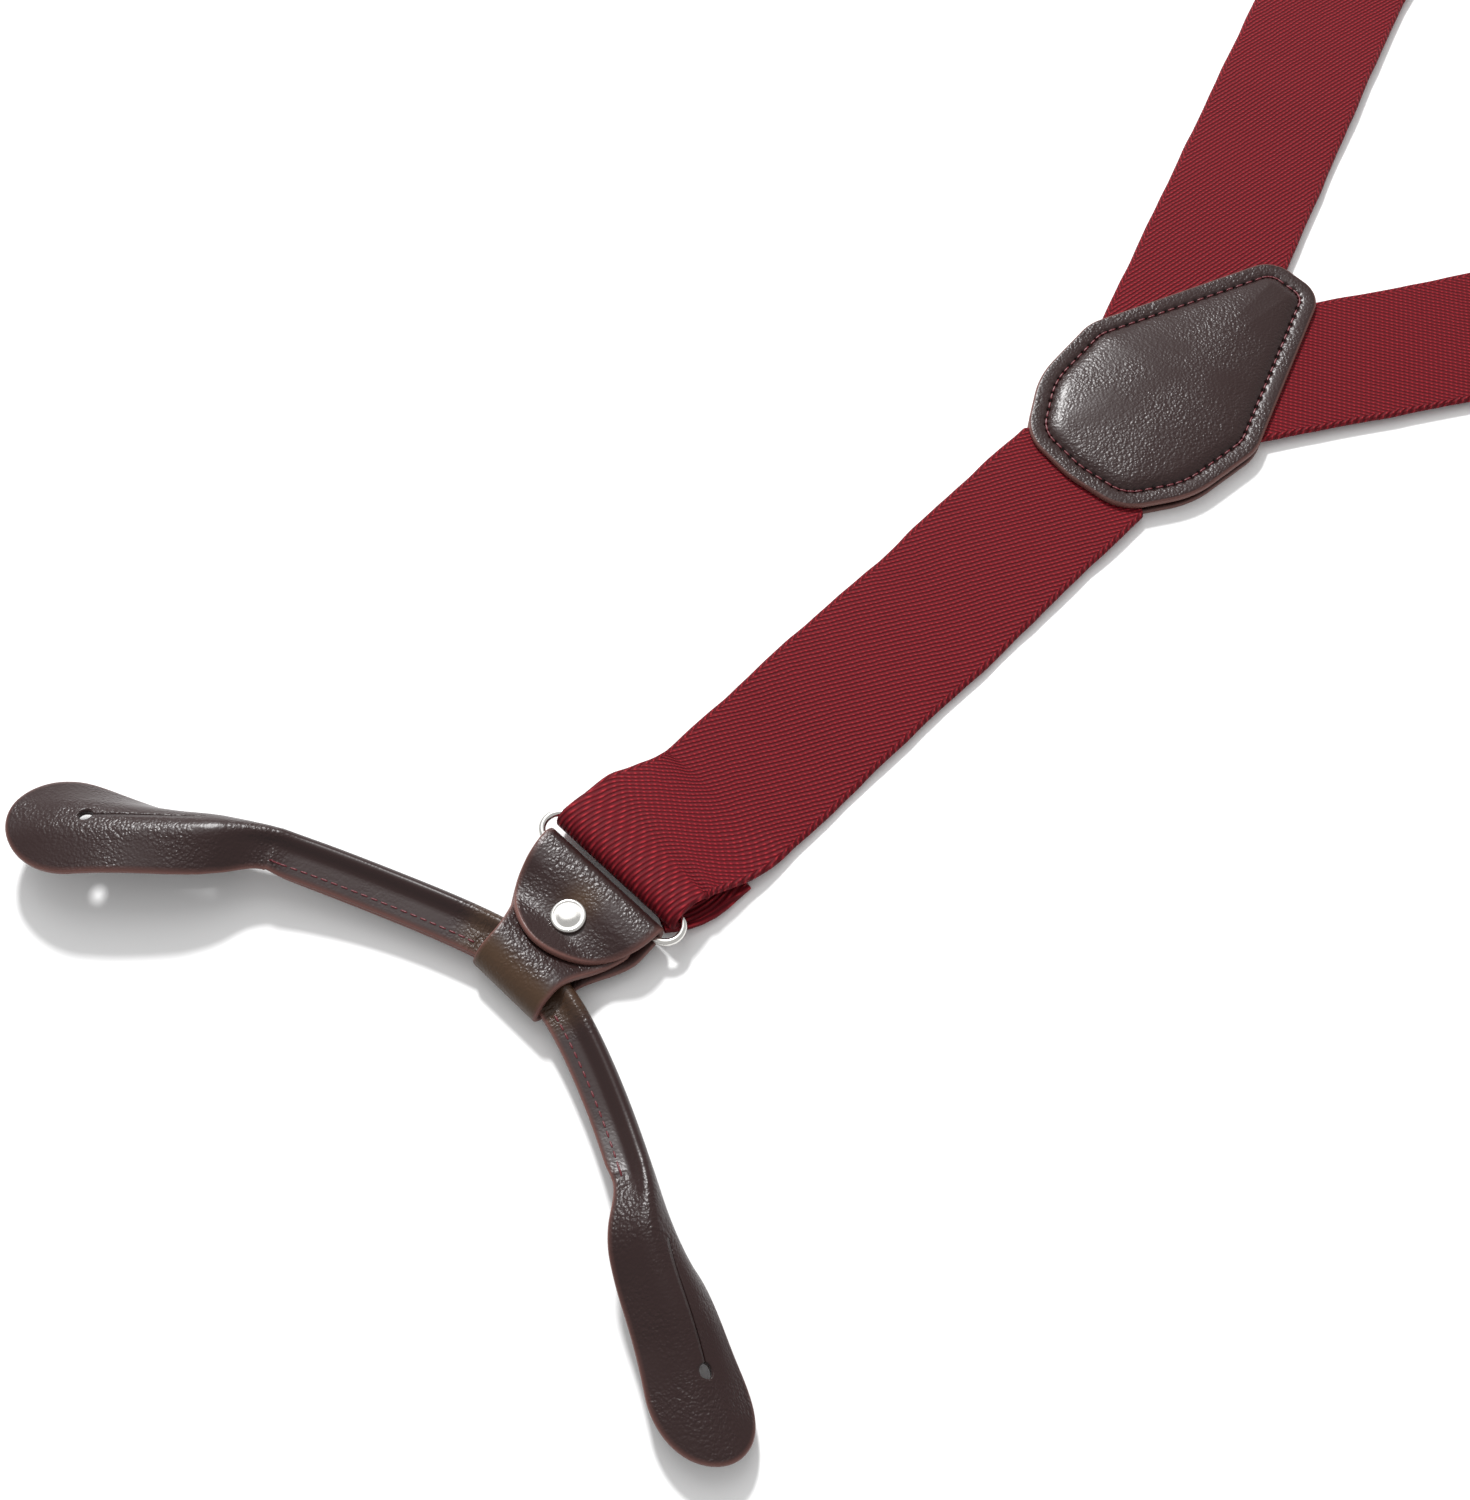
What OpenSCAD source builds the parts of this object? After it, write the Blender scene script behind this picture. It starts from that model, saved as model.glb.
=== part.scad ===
// Button-end suspenders, laid flat on a table.
// The origin is the middle of the crosspatch's underside. The back strap runs
// along -Y and the two shoulder straps along +Y; +Z is up and z = 0 is the table.
// Every length is in millimetres.

/* [Webbing] */
// Width of the elastic webbing
web_w = 35; // [32:1:36]
// Thickness of the webbing
web_t = 1.6; // [1.4:0.1:1.6]

/* [Crosspatch] */
// Height of the kite-shaped patch
patch_h = 81.5; // [78:0.5:84]
// Widest half width of the patch
patch_half = 25; // [23:0.5:27]
// Thickness of the patch leather
patch_t = 1.4; // [1.2:0.1:1.8]
// Distance between the stitches
stitch_pitch = 2.6; // [2.2:0.1:3.4]

/* [Shoulder straps] */
// Angle at which the left strap leaves the patch
left_angle = 19.5; // [16:0.5:22]
// Angle at which the right strap leaves the patch
right_angle = 33; // [28:0.5:34]
// Travel of the adjuster along its strap
adjuster_travel = 120; // [60:10:120]

/* [Ring] */
// Radius of the ring's wire
wire_r = 0.8; // [0.7:0.05:0.85]
// Distance between the two long sides of the ring
bar_gap = 7; // [7:0.1:7.6]
// Straight length of the ring's long sides
ring_straight = 31; // [31:0.5:34]

/* [Leather ends] */
// Thickness of the hanger leather
hanger_t = 1.5; // [1.4:0.1:1.5]
// Width of the hanger over the ring
hanger_w = 32.5; // [28:0.5:32.5]
// Width of the loop round the ear strip
loop_w = 18; // [16:0.5:19]
// Radius of the rivet's cap
cap_r = 3.2; // [2.5:0.1:3.6]
// Length of one stitched arm
arm_len = 44; // [38:1:46]
// Length of one ear
ear_len = 52; // [48:1:56]
// Widest half width of one ear
ear_half = 11.25; // [9:0.25:12]
// Radius of the button hole
hole_r = 1.5; // [1.2:0.1:1.8]

/* [Hidden] */
BACK = 0;
LEFT = 1;
RIGHT = 2;
eps = 0.01;

// Straps. The hidden ends of the three straps meet inside the patch.
web_z = 2.0;                       // middle of the webbing at the patch
patch_y0 = -patch_h / 2;           // lower edge of the patch
hinge_y = patch_y0 - 3.5;          // fold line between back strap and patch
fold_gap = 1.1;                    // from a fold line to the next link
lap_z = 3.75;                      // middle of the back strap's lapped end
lap_y = -29.2;                     // where the lapped end starts
left_start = [0, -17.2];
right_start = [0, -6.2];
left_run = 130;                    // straight run before the curve
right_run = 60;
left_radius = 600;
right_radius = 500;
left_turn = 4.5;                   // heading of the left front section
right_turn = 6;
mitre_x = 2.1;
seam_inset = 3.9;
crown = 1.6;                       // rise of the patch inside its seam
shoulder_y0 = -28.2;

// Rings stand a little over the table on the folded webbing.
ring_z = 4.5;
back_ring = [-3.8, -181, ring_z];
sleeve_r = 1.5;                    // room for the ring inside the webbing
sleeve_out = sleeve_r + web_t;
sleeve_w = web_w - 1;
front_ring_y = 250;                // ring of a front end, from its fold line
adj_y = 60;                        // middle of an adjuster, from the same line
leg_t = 1.4;                       // half thickness of the run round the ring
leg_len = adjuster_travel / 2 + 12;
main_z = ring_z + sleeve_r + web_t / 2;
return_t = 1.5;
return_end = front_ring_y - adj_y - adjuster_travel / 2 - 8;

// Hanger: local frame at the ring's middle, +Y towards the webbing.
grip_r = wire_r + 0.35;
grip_out = grip_r + hanger_t;
flap_len = 24;
rivet_y = -13.5;
post_r = 1.5;
back_lean = 0.084;
loop_y = -27;
loop_in = 2.7;
loop_half = 4.9;                   // half length of the room inside the loop
layer = hanger_t + 0.05;

// Ear strip: the rolled bead runs on an arc through the loop.
bead_r = 2.3;
core_r = 1.1;
flange = 3.8;
flange_t = 2.4;
arc_r = 26;
arc_a = 24.5;
apex_y = -23.4;
strip_x = 2;
ear_t = 1.6;
neck_gap = 2.4;
hole_at = 36.5;
slit_len = 23;
slit_w = 0.5;

// Adjuster: local frame at its middle on the front section.
cheek_x = 18.2;
cheek_t = 1.2;
plate_z = ring_z + 0.3;
pin_y = -7;
pin_z = 9.6;
pin_r = 0.9;
lever_r = 1.7;
bar_y = 12.5;
bar_r = 0.7;
bar_z = ring_z - 0.95;

// ---------- helpers ----------

function smooth(u) = let (c = max(0, min(1, u))) c * c * (3 - 2 * c);

// A band of thickness t round a list of mid-line points.
function tangent(p, i) =
    let (a = p[max(i - 1, 0)], b = p[min(i + 1, len(p) - 1)], d = b - a)
    d / norm(d);
function side(p, t) =
    [for (i = [0 : len(p) - 1]) let (d = tangent(p, i)) p[i] + t / 2 * [-d[1], d[0]]];
function reversed(p) = [for (i = [len(p) - 1 : -1 : 0]) p[i]];
function band(p, t) = concat(side(p, t), reversed(side(p, -t)));

// Extrude a Y-Z outline across X.
module across(w) rotate([90, 0, 90]) linear_extrude(w, center = true) children();

// Position after a straight run and an arc back towards +Y; turn is the sign
// of the heading, measured from +Y towards -X.
function ahead(p, h, s) = p + s * [-sin(h), cos(h)];
function bent(p, h0, h, r) =
    p + sign(h0) * r * [cos(h0) - cos(h), sin(h0) - sin(h)];
function strap_line(p, h0, h1, run, r, n = 16) =
    let (q = ahead(p, h0, run))
    concat([p, q], [for (i = [1 : n]) bent(q, h0, h0 + (h1 - h0) * i / n, r)]);

left_line = strap_line(left_start, left_angle, left_turn, left_run, left_radius);
right_line = strap_line(right_start, -right_angle, -right_turn, right_run, right_radius);
function line_of(e) = e == LEFT ? left_line : right_line;
function heading(e) = e == LEFT ? left_turn : -right_turn;
function front_at(e) = line_of(e)[len(line_of(e)) - 1];

module at_front(e) translate(front_at(e)) rotate([0, 0, heading(e)]) children();
module at_adjuster(e) at_front(e) translate([0, adj_y, 0]) children();
module at_end(e) {
    if (e == BACK) translate(back_ring) children();
    else at_front(e) translate([0, front_ring_y, ring_z]) rotate([0, 0, 180]) children();
}

// ---------- crosspatch ----------

// The kite is the outline that wraps these circles: x, y, radius.
patch_circles = [for (s = [-1, 1]) each [
    [s * 2.2, patch_y0 + patch_h - 7.5, 7.5],
    [s * (patch_half - 12), patch_y0 + 34, 12],
    [s * 7.5, patch_y0 + 12.3, 11.5],
    [0, patch_y0 + 24, 24]]];

// The wrapped outline's farthest point in direction a, with the outline inset by d.
function reach(c, u) = c[0] * u[0] + c[1] * u[1] + c[2];
function farthest(u, i = 0, best = undef) =
    i == len(patch_circles) ? best
        : farthest(u, i + 1, best == undef || reach(patch_circles[i], u) > reach(best, u)
            ? patch_circles[i] : best);
function kite_point(a, d) =
    let (u = [cos(a), sin(a)], c = farthest(u)) [c[0], c[1]] + (c[2] - d) * u;
function kite(d = 0) = [for (a = [0 : 6 : 354]) kite_point(a, d)];

// Point and direction at distance s along a closed outline.
function edge_of(p, i) = p[(i + 1) % len(p)] - p[i];
function along(p, s, i = 0) =
    let (e = edge_of(p, i), l = norm(e))
    s <= l || i == len(p) - 1 ? [p[i] + e * s / l, atan2(e[1], e[0])] : along(p, s - l, i + 1);
function perimeter(p, i = 0) = i == len(p) ? 0 : norm(edge_of(p, i)) + perimeter(p, i + 1);

patch_z = web_z + web_t / 2;

module patch_top() color("#2e1a17") difference() {
    union() {
        translate([0, 0, patch_z]) linear_extrude(patch_t) polygon(kite());
        hull() {
            translate([0, 0, patch_z + patch_t - eps]) linear_extrude(eps)
                polygon(kite(seam_inset + 0.8));
            translate([0, 0, patch_z + patch_t + crown]) linear_extrude(eps)
                polygon(kite(seam_inset + 5.5));
        }
    }
    translate([-15, lap_y - 2.6, patch_z - 1]) cube([30, 39.6, 1 + web_t + 0.3]);
}

module patch_backing() color("#2a1815")
    translate([0, 0, patch_z - web_t - 1.2]) linear_extrude(1.2) polygon(kite());

module patch_stitching() color("#5a1a22") {
    seam = kite(seam_inset);
    n = floor(perimeter(seam) / stitch_pitch);
    for (i = [0 : n - 1]) let (q = along(seam, perimeter(seam) * i / n))
        translate([q[0][0], q[0][1], patch_z + patch_t + 0.15]) rotate([0, 0, q[1]])
            cube([1.8, 0.45, 0.3], center = true);
}

// ---------- straps ----------

module back_strap_end() color("#6b1220") {
    across(web_w) {
        translate([hinge_y, web_z]) circle(r = web_t / 2, $fn = 24);
        polygon(band([[hinge_y, web_z], [lap_y - 3, web_z]], web_t));
    }
    across(28) polygon(band([[lap_y - 4, web_z], [lap_y - 2, web_z],
        [lap_y, lap_z], [lap_y + 36, lap_z]], web_t));
}

module shoulder_strap(e) color("#6b1220") {
    p = line_of(e);
    s = e == LEFT ? -1 : 1;
    difference() {
        translate([0, 0, web_z - web_t / 2]) linear_extrude(web_t) intersection() {
            polygon(band(p, web_w));
            translate([e == LEFT ? mitre_x - 400.1 : mitre_x + 0.1, shoulder_y0])
                square([400, 600]);
        }
        at_front(e) translate([0, 2, web_z]) cube([web_w + 9, 4, web_t + 1], center = true);
    }
    at_front(e) translate([0, 0, web_z]) rotate([0, 90, 0])
        cylinder(r = web_t / 2, h = web_w, center = true, $fn = 24);
}

module back_strap() color("#6b1220") {
    r = back_ring[1];
    y = r + bar_gap / 2;
    across(web_w) polygon(band([[hinge_y - fold_gap, web_z], [hinge_y - 37, 1.3],
        [r + 34, 1.3], [r + 24, 2.0], [r + 16, 3.2]], web_t));
    translate([back_ring[0], 0, 0]) difference() {
        across(sleeve_w) {
            translate([y, ring_z]) circle(r = sleeve_out, $fn = 48);
            polygon([[y, ring_z + sleeve_out], [r + 9, 7.0], [r + 11.5, 5.6],
                [r + 20, 3.4], [r + 20, 0.4], [r + 10, 0.7], [y, ring_z - sleeve_out]]);
        }
        translate([0, y, ring_z]) rotate([0, 90, 0])
            cylinder(r = sleeve_r, h = web_w + 2, center = true, $fn = 48);
    }
}

module back_fold_stitching() color("#7d1526")
    for (i = [0 : 11])
        translate([back_ring[0] - 14.3 + i * stitch_pitch, back_ring[1] + 11.5, 5.91])
            cube([1.8, 0.5, 0.3], center = true);

// Long front layer, from the shoulder fold to the ring.
module front_strap() color("#6b1220")
    across(web_w) polygon(band([[fold_gap, web_z], [12, 2.4], [34, main_z - 0.4],
        [44, main_z], [front_ring_y - bar_gap / 2 - sleeve_out - 0.1, main_z]], web_t));

// Underneath, from the adjuster's lower bar back towards the ring.
module return_webbing() color("#6b1220") difference() {
    r = bar_r + 0.05 + return_t - 0.1;
    low = bar_z - r;
    across(sleeve_w) polygon(concat(
        [for (a = [90 : 9 : 270]) [bar_y + r * cos(a), bar_z + r * sin(a)]],
        [[return_end, low], [return_end, low + return_t],
            [bar_y + 12.5, low + return_t], [bar_y + 12, low + return_t + 1.15]]));
    translate([0, bar_y, bar_z]) rotate([0, 90, 0])
        cylinder(r = bar_r + 0.05, h = web_w + 2, center = true, $fn = 40);
}

// The webbing round the ring, with its two layers between front and return.
module ring_webbing() color("#6b1220") difference() {
    y = bar_gap / 2;
    across(sleeve_w) {
        translate([y, 0]) circle(r = sleeve_out, $fn = 48);
        translate([y, -sleeve_out]) square([2, 2 * sleeve_out]);
        translate([y, -leg_t]) square([leg_len - y, 2 * leg_t]);
    }
    translate([0, y, 0]) rotate([0, 90, 0])
        cylinder(r = sleeve_r, h = web_w + 2, center = true, $fn = 48);
}

// ---------- ring ----------

module ring() color("#c9c9cc") {
    for (s = [-1, 1]) {
        translate([0, s * bar_gap / 2, 0]) rotate([0, 90, 0])
            cylinder(r = wire_r, h = ring_straight, center = true, $fn = 32);
        translate([s * ring_straight / 2, 0, 0]) rotate([0, 0, -s * 90])
            rotate_extrude(angle = 180, $fn = 64)
            translate([bar_gap / 2, 0]) circle(r = wire_r, $fn = 24);
    }
}

// ---------- hanger ----------

function leaned(p, lean) = [p[0] - lean * min(0, p[1] + bar_gap / 2), p[1]];

// The flap is half an ellipse below the ring.
function flap_edge(lean, n = 32) =
    [for (i = [0 : n]) leaned([hanger_w / 2 * cos(180 + 180 * i / n),
        -bar_gap / 2 + (flap_len - bar_gap / 2) * sin(180 + 180 * i / n)], lean)];

// Half width of the strip between the loop and the ring.
function leg_half(y, wide) =
    loop_w / 2 + (wide - loop_w / 2) * smooth((y + 26) / 18);
function leg_edge(y0, y1, wide, lean, n = 14) =
    [for (s = [-1, 1], i = [0 : n])
        let (u = s < 0 ? i / n : 1 - i / n, y = y0 + (y1 - y0) * u)
        leaned([s * leg_half(y, wide), y], lean)];

// The loop seen from the side: round below, closing towards the rivet.
loop_top = loop_y + 3.7;
loop_end = loop_y + 8.2;
module loop_outline(grow) {
    r = loop_in + grow;
    low = loop_y - loop_half + loop_in;
    thin = max(grow, 0.4);
    translate([low, 0]) circle(r = r, $fn = 40);
    polygon([[low, r], [loop_top, r], [loop_end + 1.4 * grow, thin],
        [loop_end + 1.4 * grow, -thin], [loop_top, -r], [low, -r]]);
}

module hanger(lean = 0) color("#2e1a17") difference() {
    bar = -bar_gap / 2;
    shift = -lean * (loop_y - bar);
    union() {
        translate([0, bar, 0]) rotate([0, 90, 0])
            cylinder(r = grip_out, h = hanger_w, center = true, $fn = 48);
        translate([0, 0, layer - hanger_t / 2])
            linear_extrude(hanger_t) polygon(flap_edge(lean));
        translate([0, 0, -hanger_t / 2 - 0.05])
            linear_extrude(hanger_t + 0.1) polygon(leg_edge(-22, -8, 14.6, lean));
        translate([0, 0, -layer - hanger_t / 2])
            linear_extrude(hanger_t) polygon(leg_edge(-22, bar, hanger_w / 2, lean));
        translate([shift, 0, 0]) across(loop_w) loop_outline(hanger_t);
    }
    translate([shift, 0, 0]) across(loop_w + 2) loop_outline(0);
    translate([0, bar, 0]) rotate([0, 90, 0])
        cylinder(r = grip_r, h = hanger_w + 2, center = true, $fn = 48);
    translate([-lean * (rivet_y - bar), rivet_y, 0])
        cylinder(r = post_r, h = 20, center = true, $fn = 32);
}

// Domed cap over the flap, and the tubular post with its foot below.
rivet_top = layer + hanger_t / 2;
module rivet_cap(lean = 0) color("#d8d8da")
    translate([-lean * (rivet_y + bar_gap / 2), rivet_y, rivet_top])
    rotate_extrude($fn = 48) polygon(concat([[0, 0], [cap_r, 0]],
        [for (a = [0 : 15 : 90]) [cap_r * pow(cos(a), 0.5), 0.4 + 0.7 * sin(a)]]));

module rivet_post(lean = 0) color("#b9b9bd")
    translate([-lean * (rivet_y + bar_gap / 2), rivet_y, 0]) {
        translate([0, 0, -rivet_top]) cylinder(r = post_r, h = 2 * rivet_top, $fn = 32);
        translate([0, 0, -rivet_top - 0.7]) cylinder(r = 2.6, h = 0.7, $fn = 32);
    }

// ---------- ear strip ----------

// A section of [outward, up] points swept along a path in the plane; the ends
// run on by extra.
function run_on(p, extra) =
    let (n = len(p) - 1)
    [for (i = [0 : n]) i == 0 ? p[0] - extra * tangent(p, 0)
        : i == n ? p[n] + extra * tangent(p, n) : p[i]];
module sweep(path, section, extra = 0) {
    p = run_on(path, extra);
    m = len(section);
    points = [for (i = [0 : len(p) - 1], q = section)
        let (d = tangent(p, i)) [p[i][0] - d[1] * q[0], p[i][1] + d[0] * q[0], q[1]]];
    walls = [for (i = [0 : len(p) - 2], j = [0 : m - 1])
        [i * m + j, (i + 1) * m + j, (i + 1) * m + (j + 1) % m, i * m + (j + 1) % m]];
    polyhedron(points, concat([[for (j = [0 : m - 1]) j]],
        walls, [[for (j = [m - 1 : -1 : 0]) (len(p) - 1) * m + j]]));
}

function ring_points(r, n) = [for (i = [0 : n - 1]) r * [cos(360 * i / n), sin(360 * i / n)]];

// The bead towards the ring and the flange away from it.
join_a = asin(flange_t / 2 / bead_r);
strip_section = concat(
    [for (i = [0 : 12]) let (a = 180 - join_a - i * (360 - 2 * join_a) / 12)
        bead_r * [cos(a), sin(a)]],
    [[-bead_r - flange, -flange_t / 2], [-bead_r - flange, flange_t / 2]]);

// Left neck, arc through the loop, right neck.
function arm_end(s) =
    [s * (arc_r * sin(arc_a) + arm_len * cos(arc_a)),
        apex_y - arc_r * (1 - cos(arc_a)) - arm_len * sin(arc_a)];
function strip_path(x) =
    [for (p = concat([arm_end(-1)],
        [for (i = [-7 : 7]) let (a = i * arc_a / 7)
            [arc_r * sin(a), apex_y - arc_r * (1 - cos(a))]],
        [arm_end(1)])) p + [x, 0]];

// Places its child at the outer end of the arc, +X along the arm; s = -1 left.
module at_arm(s, x = 0)
    translate([x + s * arc_r * sin(arc_a), apex_y - arc_r * (1 - cos(arc_a)), 0])
    rotate([0, 0, s < 0 ? 180 + arc_a : -arc_a]) children();

module ear_strip(x = 0) color("#33201c") difference() {
    sweep(strip_path(x), strip_section);
    sweep(strip_path(x), ring_points(core_r, 10), 1);
}

module ear_core(x = 0) color("#8c8074") sweep(strip_path(x), ring_points(core_r, 10));

module seam_stitching(x = 0) color("#5a1a22")
    for (s = [-1, 1], i = [0 : 15])
        at_arm(s, x) translate([2 + i * stitch_pitch, -s * (bead_r + flange - 1.2),
            flange_t / 2 + 0.12]) cube([1.7, 0.4, 0.24], center = true);

// Half width of an ear at distance t from its neck.
function ear_edge(t) =
    t < ear_len - 15 ? 4 + (ear_half - 4) * smooth((t + 2) / 30)
        : ear_half * sqrt(max(0, 1 - pow((t - ear_len + 15) / 15, 2)));
function ear_outline(n = 34) =
    [for (s = [1, -1], i = [0 : n])
        let (u = s > 0 ? i / n : 1 - i / n, t = neck_gap + (ear_len - neck_gap) * sin(90 * u))
        [t, s * ear_edge(t)]];

// s = -1 left or 1 right; bend turns the ear in the plane, lift raises its tip.
module ear(s, bend, lift, x = 0) color("#2e1a17") at_arm(s, x)
    translate([arm_len, 0, 0]) rotate([0, 0, -s * bend]) rotate([0, -lift, 0])
    translate([0, -s * flange / 2, -ear_t / 2]) difference() {
        linear_extrude(ear_t) polygon(ear_outline());
        translate([hole_at, 0, -1]) cylinder(r = hole_r, h = ear_t + 2, $fn = 32);
        translate([hole_at - slit_len, -slit_w / 2, -1]) cube([slit_len, slit_w, ear_t + 2]);
    }

// ---------- adjuster ----------

module adjuster_frame() color("#c4c4c8") difference() {
    union() {
        translate([-cheek_x - cheek_t, -10, plate_z]) cube([2 * (cheek_x + cheek_t), 20, 1]);
        for (s = [-1, 1]) translate([s * (cheek_x + cheek_t / 2), 0, 0]) across(cheek_t)
            polygon([[-10, plate_z], [-10, pin_z + 0.5], [-8.5, pin_z + 1.8],
                [-5.5, pin_z + 1.8], [-3, 8], [10, 6.5], [14.5, plate_z],
                [14.5, bar_z - 1.3], [10.5, bar_z - 1.3]]);
    }
    translate([0, pin_y, pin_z]) rotate([0, 90, 0])
        cylinder(r = pin_r, h = 60, center = true, $fn = 32);
    translate([0, bar_y, bar_z]) rotate([0, 90, 0])
        cylinder(r = bar_r, h = 60, center = true, $fn = 32);
    translate([-12, -6, plate_z - 1]) cube([24, 10, 3]);
}

module adjuster_pin() color("#b9b9bd") translate([0, pin_y, pin_z]) rotate([0, 90, 0])
    cylinder(r = pin_r, h = 2 * (cheek_x + cheek_t), center = true, $fn = 32);

module adjuster_bar() color("#b9b9bd") translate([0, bar_y, bar_z]) rotate([0, 90, 0])
    cylinder(r = bar_r, h = 2 * (cheek_x + cheek_t), center = true, $fn = 32);

// A plate that folds down over the webbing, with a toothed edge by the pin.
module adjuster_lever() color("#d0d0d3") difference() {
    union() {
        translate([0, pin_y, pin_z]) rotate([0, 90, 0])
            cylinder(r = lever_r, h = 2 * cheek_x - 0.8, center = true, $fn = 40);
        across(2 * cheek_x - 0.8) polygon([[pin_y, pin_z + lever_r],
            [pin_y + 3, pin_z + 0.9], [9, pin_z - 0.2], [12, pin_z + 0.6],
            [12, pin_z - 0.5], [9, pin_z - 1.3], [pin_y + 3, pin_z - 0.2],
            [pin_y, pin_z + 0.5]]);
    }
    translate([0, pin_y, pin_z]) rotate([0, 90, 0])
        cylinder(r = pin_r + 0.05, h = 60, center = true, $fn = 40);
}

// ---------- nodes ----------

patch_top();
patch_backing();
patch_stitching();
back_strap_end();
shoulder_strap(LEFT);  // left_shoulder_strap
shoulder_strap(RIGHT);  // right_shoulder_strap
back_strap();
back_fold_stitching();
at_end(BACK) ring();  // back_ring
at_end(BACK) hanger(back_lean);  // back_hanger
at_end(BACK) rivet_cap(back_lean);  // back_rivet_cap
at_end(BACK) rivet_post(back_lean);  // back_rivet_post
at_end(BACK) ear_strip(strip_x);  // back_ear_strip
at_end(BACK) ear_core(strip_x);  // back_ear_core
at_end(BACK) seam_stitching(strip_x);  // back_seam_stitching
at_end(BACK) ear(-1, 15, 8, strip_x);  // back_left_ear
at_end(BACK) ear(1, 0, -2, strip_x);  // back_right_ear
at_front(LEFT) front_strap();  // left_front_strap
at_adjuster(LEFT) return_webbing();  // left_return_webbing
at_end(LEFT) ring_webbing();  // left_ring_webbing
at_adjuster(LEFT) adjuster_frame();  // left_adjuster_frame
at_adjuster(LEFT) adjuster_lever();  // left_adjuster_lever
at_adjuster(LEFT) adjuster_pin();  // left_adjuster_pin
at_adjuster(LEFT) adjuster_bar();  // left_adjuster_bar
at_end(LEFT) ring();  // left_ring
at_end(LEFT) hanger();  // left_hanger
at_end(LEFT) rivet_cap();  // left_rivet_cap
at_end(LEFT) rivet_post();  // left_rivet_post
at_end(LEFT) ear_strip();  // left_ear_strip
at_end(LEFT) ear_core();  // left_ear_core
at_end(LEFT) seam_stitching();  // left_seam_stitching
at_end(LEFT) ear(1, 6, 2);  // left_outer_ear
at_end(LEFT) ear(-1, 6, 2);  // left_inner_ear
at_front(RIGHT) front_strap();  // right_front_strap
at_adjuster(RIGHT) return_webbing();  // right_return_webbing
at_end(RIGHT) ring_webbing();  // right_ring_webbing
at_adjuster(RIGHT) adjuster_frame();  // right_adjuster_frame
at_adjuster(RIGHT) adjuster_lever();  // right_adjuster_lever
at_adjuster(RIGHT) adjuster_pin();  // right_adjuster_pin
at_adjuster(RIGHT) adjuster_bar();  // right_adjuster_bar
at_end(RIGHT) ring();  // right_ring
at_end(RIGHT) hanger();  // right_hanger
at_end(RIGHT) rivet_cap();  // right_rivet_cap
at_end(RIGHT) rivet_post();  // right_rivet_post
at_end(RIGHT) ear_strip();  // right_ear_strip
at_end(RIGHT) ear_core();  // right_ear_core
at_end(RIGHT) seam_stitching();  // right_seam_stitching
at_end(RIGHT) ear(-1, 6, 2);  // right_outer_ear
at_end(RIGHT) ear(1, 6, 2);  // right_inner_ear
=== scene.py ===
import math

import bmesh
import bpy
import numpy as np
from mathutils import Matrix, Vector


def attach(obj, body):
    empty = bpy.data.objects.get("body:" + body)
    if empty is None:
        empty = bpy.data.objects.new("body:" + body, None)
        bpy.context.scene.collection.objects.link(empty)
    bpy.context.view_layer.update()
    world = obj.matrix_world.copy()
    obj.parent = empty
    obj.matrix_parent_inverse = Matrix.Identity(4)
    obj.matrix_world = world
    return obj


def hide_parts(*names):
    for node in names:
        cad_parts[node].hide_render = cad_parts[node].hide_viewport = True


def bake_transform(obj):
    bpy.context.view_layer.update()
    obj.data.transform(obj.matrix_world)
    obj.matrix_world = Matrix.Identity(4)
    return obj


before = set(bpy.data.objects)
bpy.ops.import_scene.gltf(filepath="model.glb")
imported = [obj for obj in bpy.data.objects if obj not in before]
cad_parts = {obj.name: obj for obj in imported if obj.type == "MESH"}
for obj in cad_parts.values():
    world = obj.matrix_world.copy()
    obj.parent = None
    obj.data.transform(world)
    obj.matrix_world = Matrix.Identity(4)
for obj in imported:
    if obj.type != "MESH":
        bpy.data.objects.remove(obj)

bl_info = {
    "name": "Button-end suspenders",
    "version": (1, 0, 0),
    "blender": (4, 5, 0),
    "location": "View3D > Sidebar > Suspenders",
    "description": "Elastic suspenders with a leather crosspatch, rings and button ears",
    "category": "Add Mesh",
}

# Every shape is worked out in millimetres and put into the mesh in metres.
MM = 0.001
DEG = math.pi / 180
BACK, LEFT, RIGHT = "back", "left", "right"
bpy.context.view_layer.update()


def hex_to_linear(code):
    """Linear colour of an sRGB hex code: the sRGB transfer curve inverted on each channel."""
    values = [int(code[i:i + 2], 16) / 255 for i in (0, 2, 4)]
    return tuple(v / 12.92 if v <= 0.04045 else ((v + 0.055) / 1.055) ** 2.4 for v in values)


# ---------- sizes and colours a user would change ----------

def length_mm(name, text, value):
    """A length property whose default is given in millimetres."""
    return bpy.props.FloatProperty(name=name, description=text, default=value * MM,
                                   unit="LENGTH", subtype="DISTANCE")


def colour(name, text, code):
    """A colour property whose default is given as a hex code."""
    return bpy.props.FloatVectorProperty(name=name, description=text, size=3, min=0, max=1,
                                         subtype="COLOR", default=hex_to_linear(code))


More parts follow.
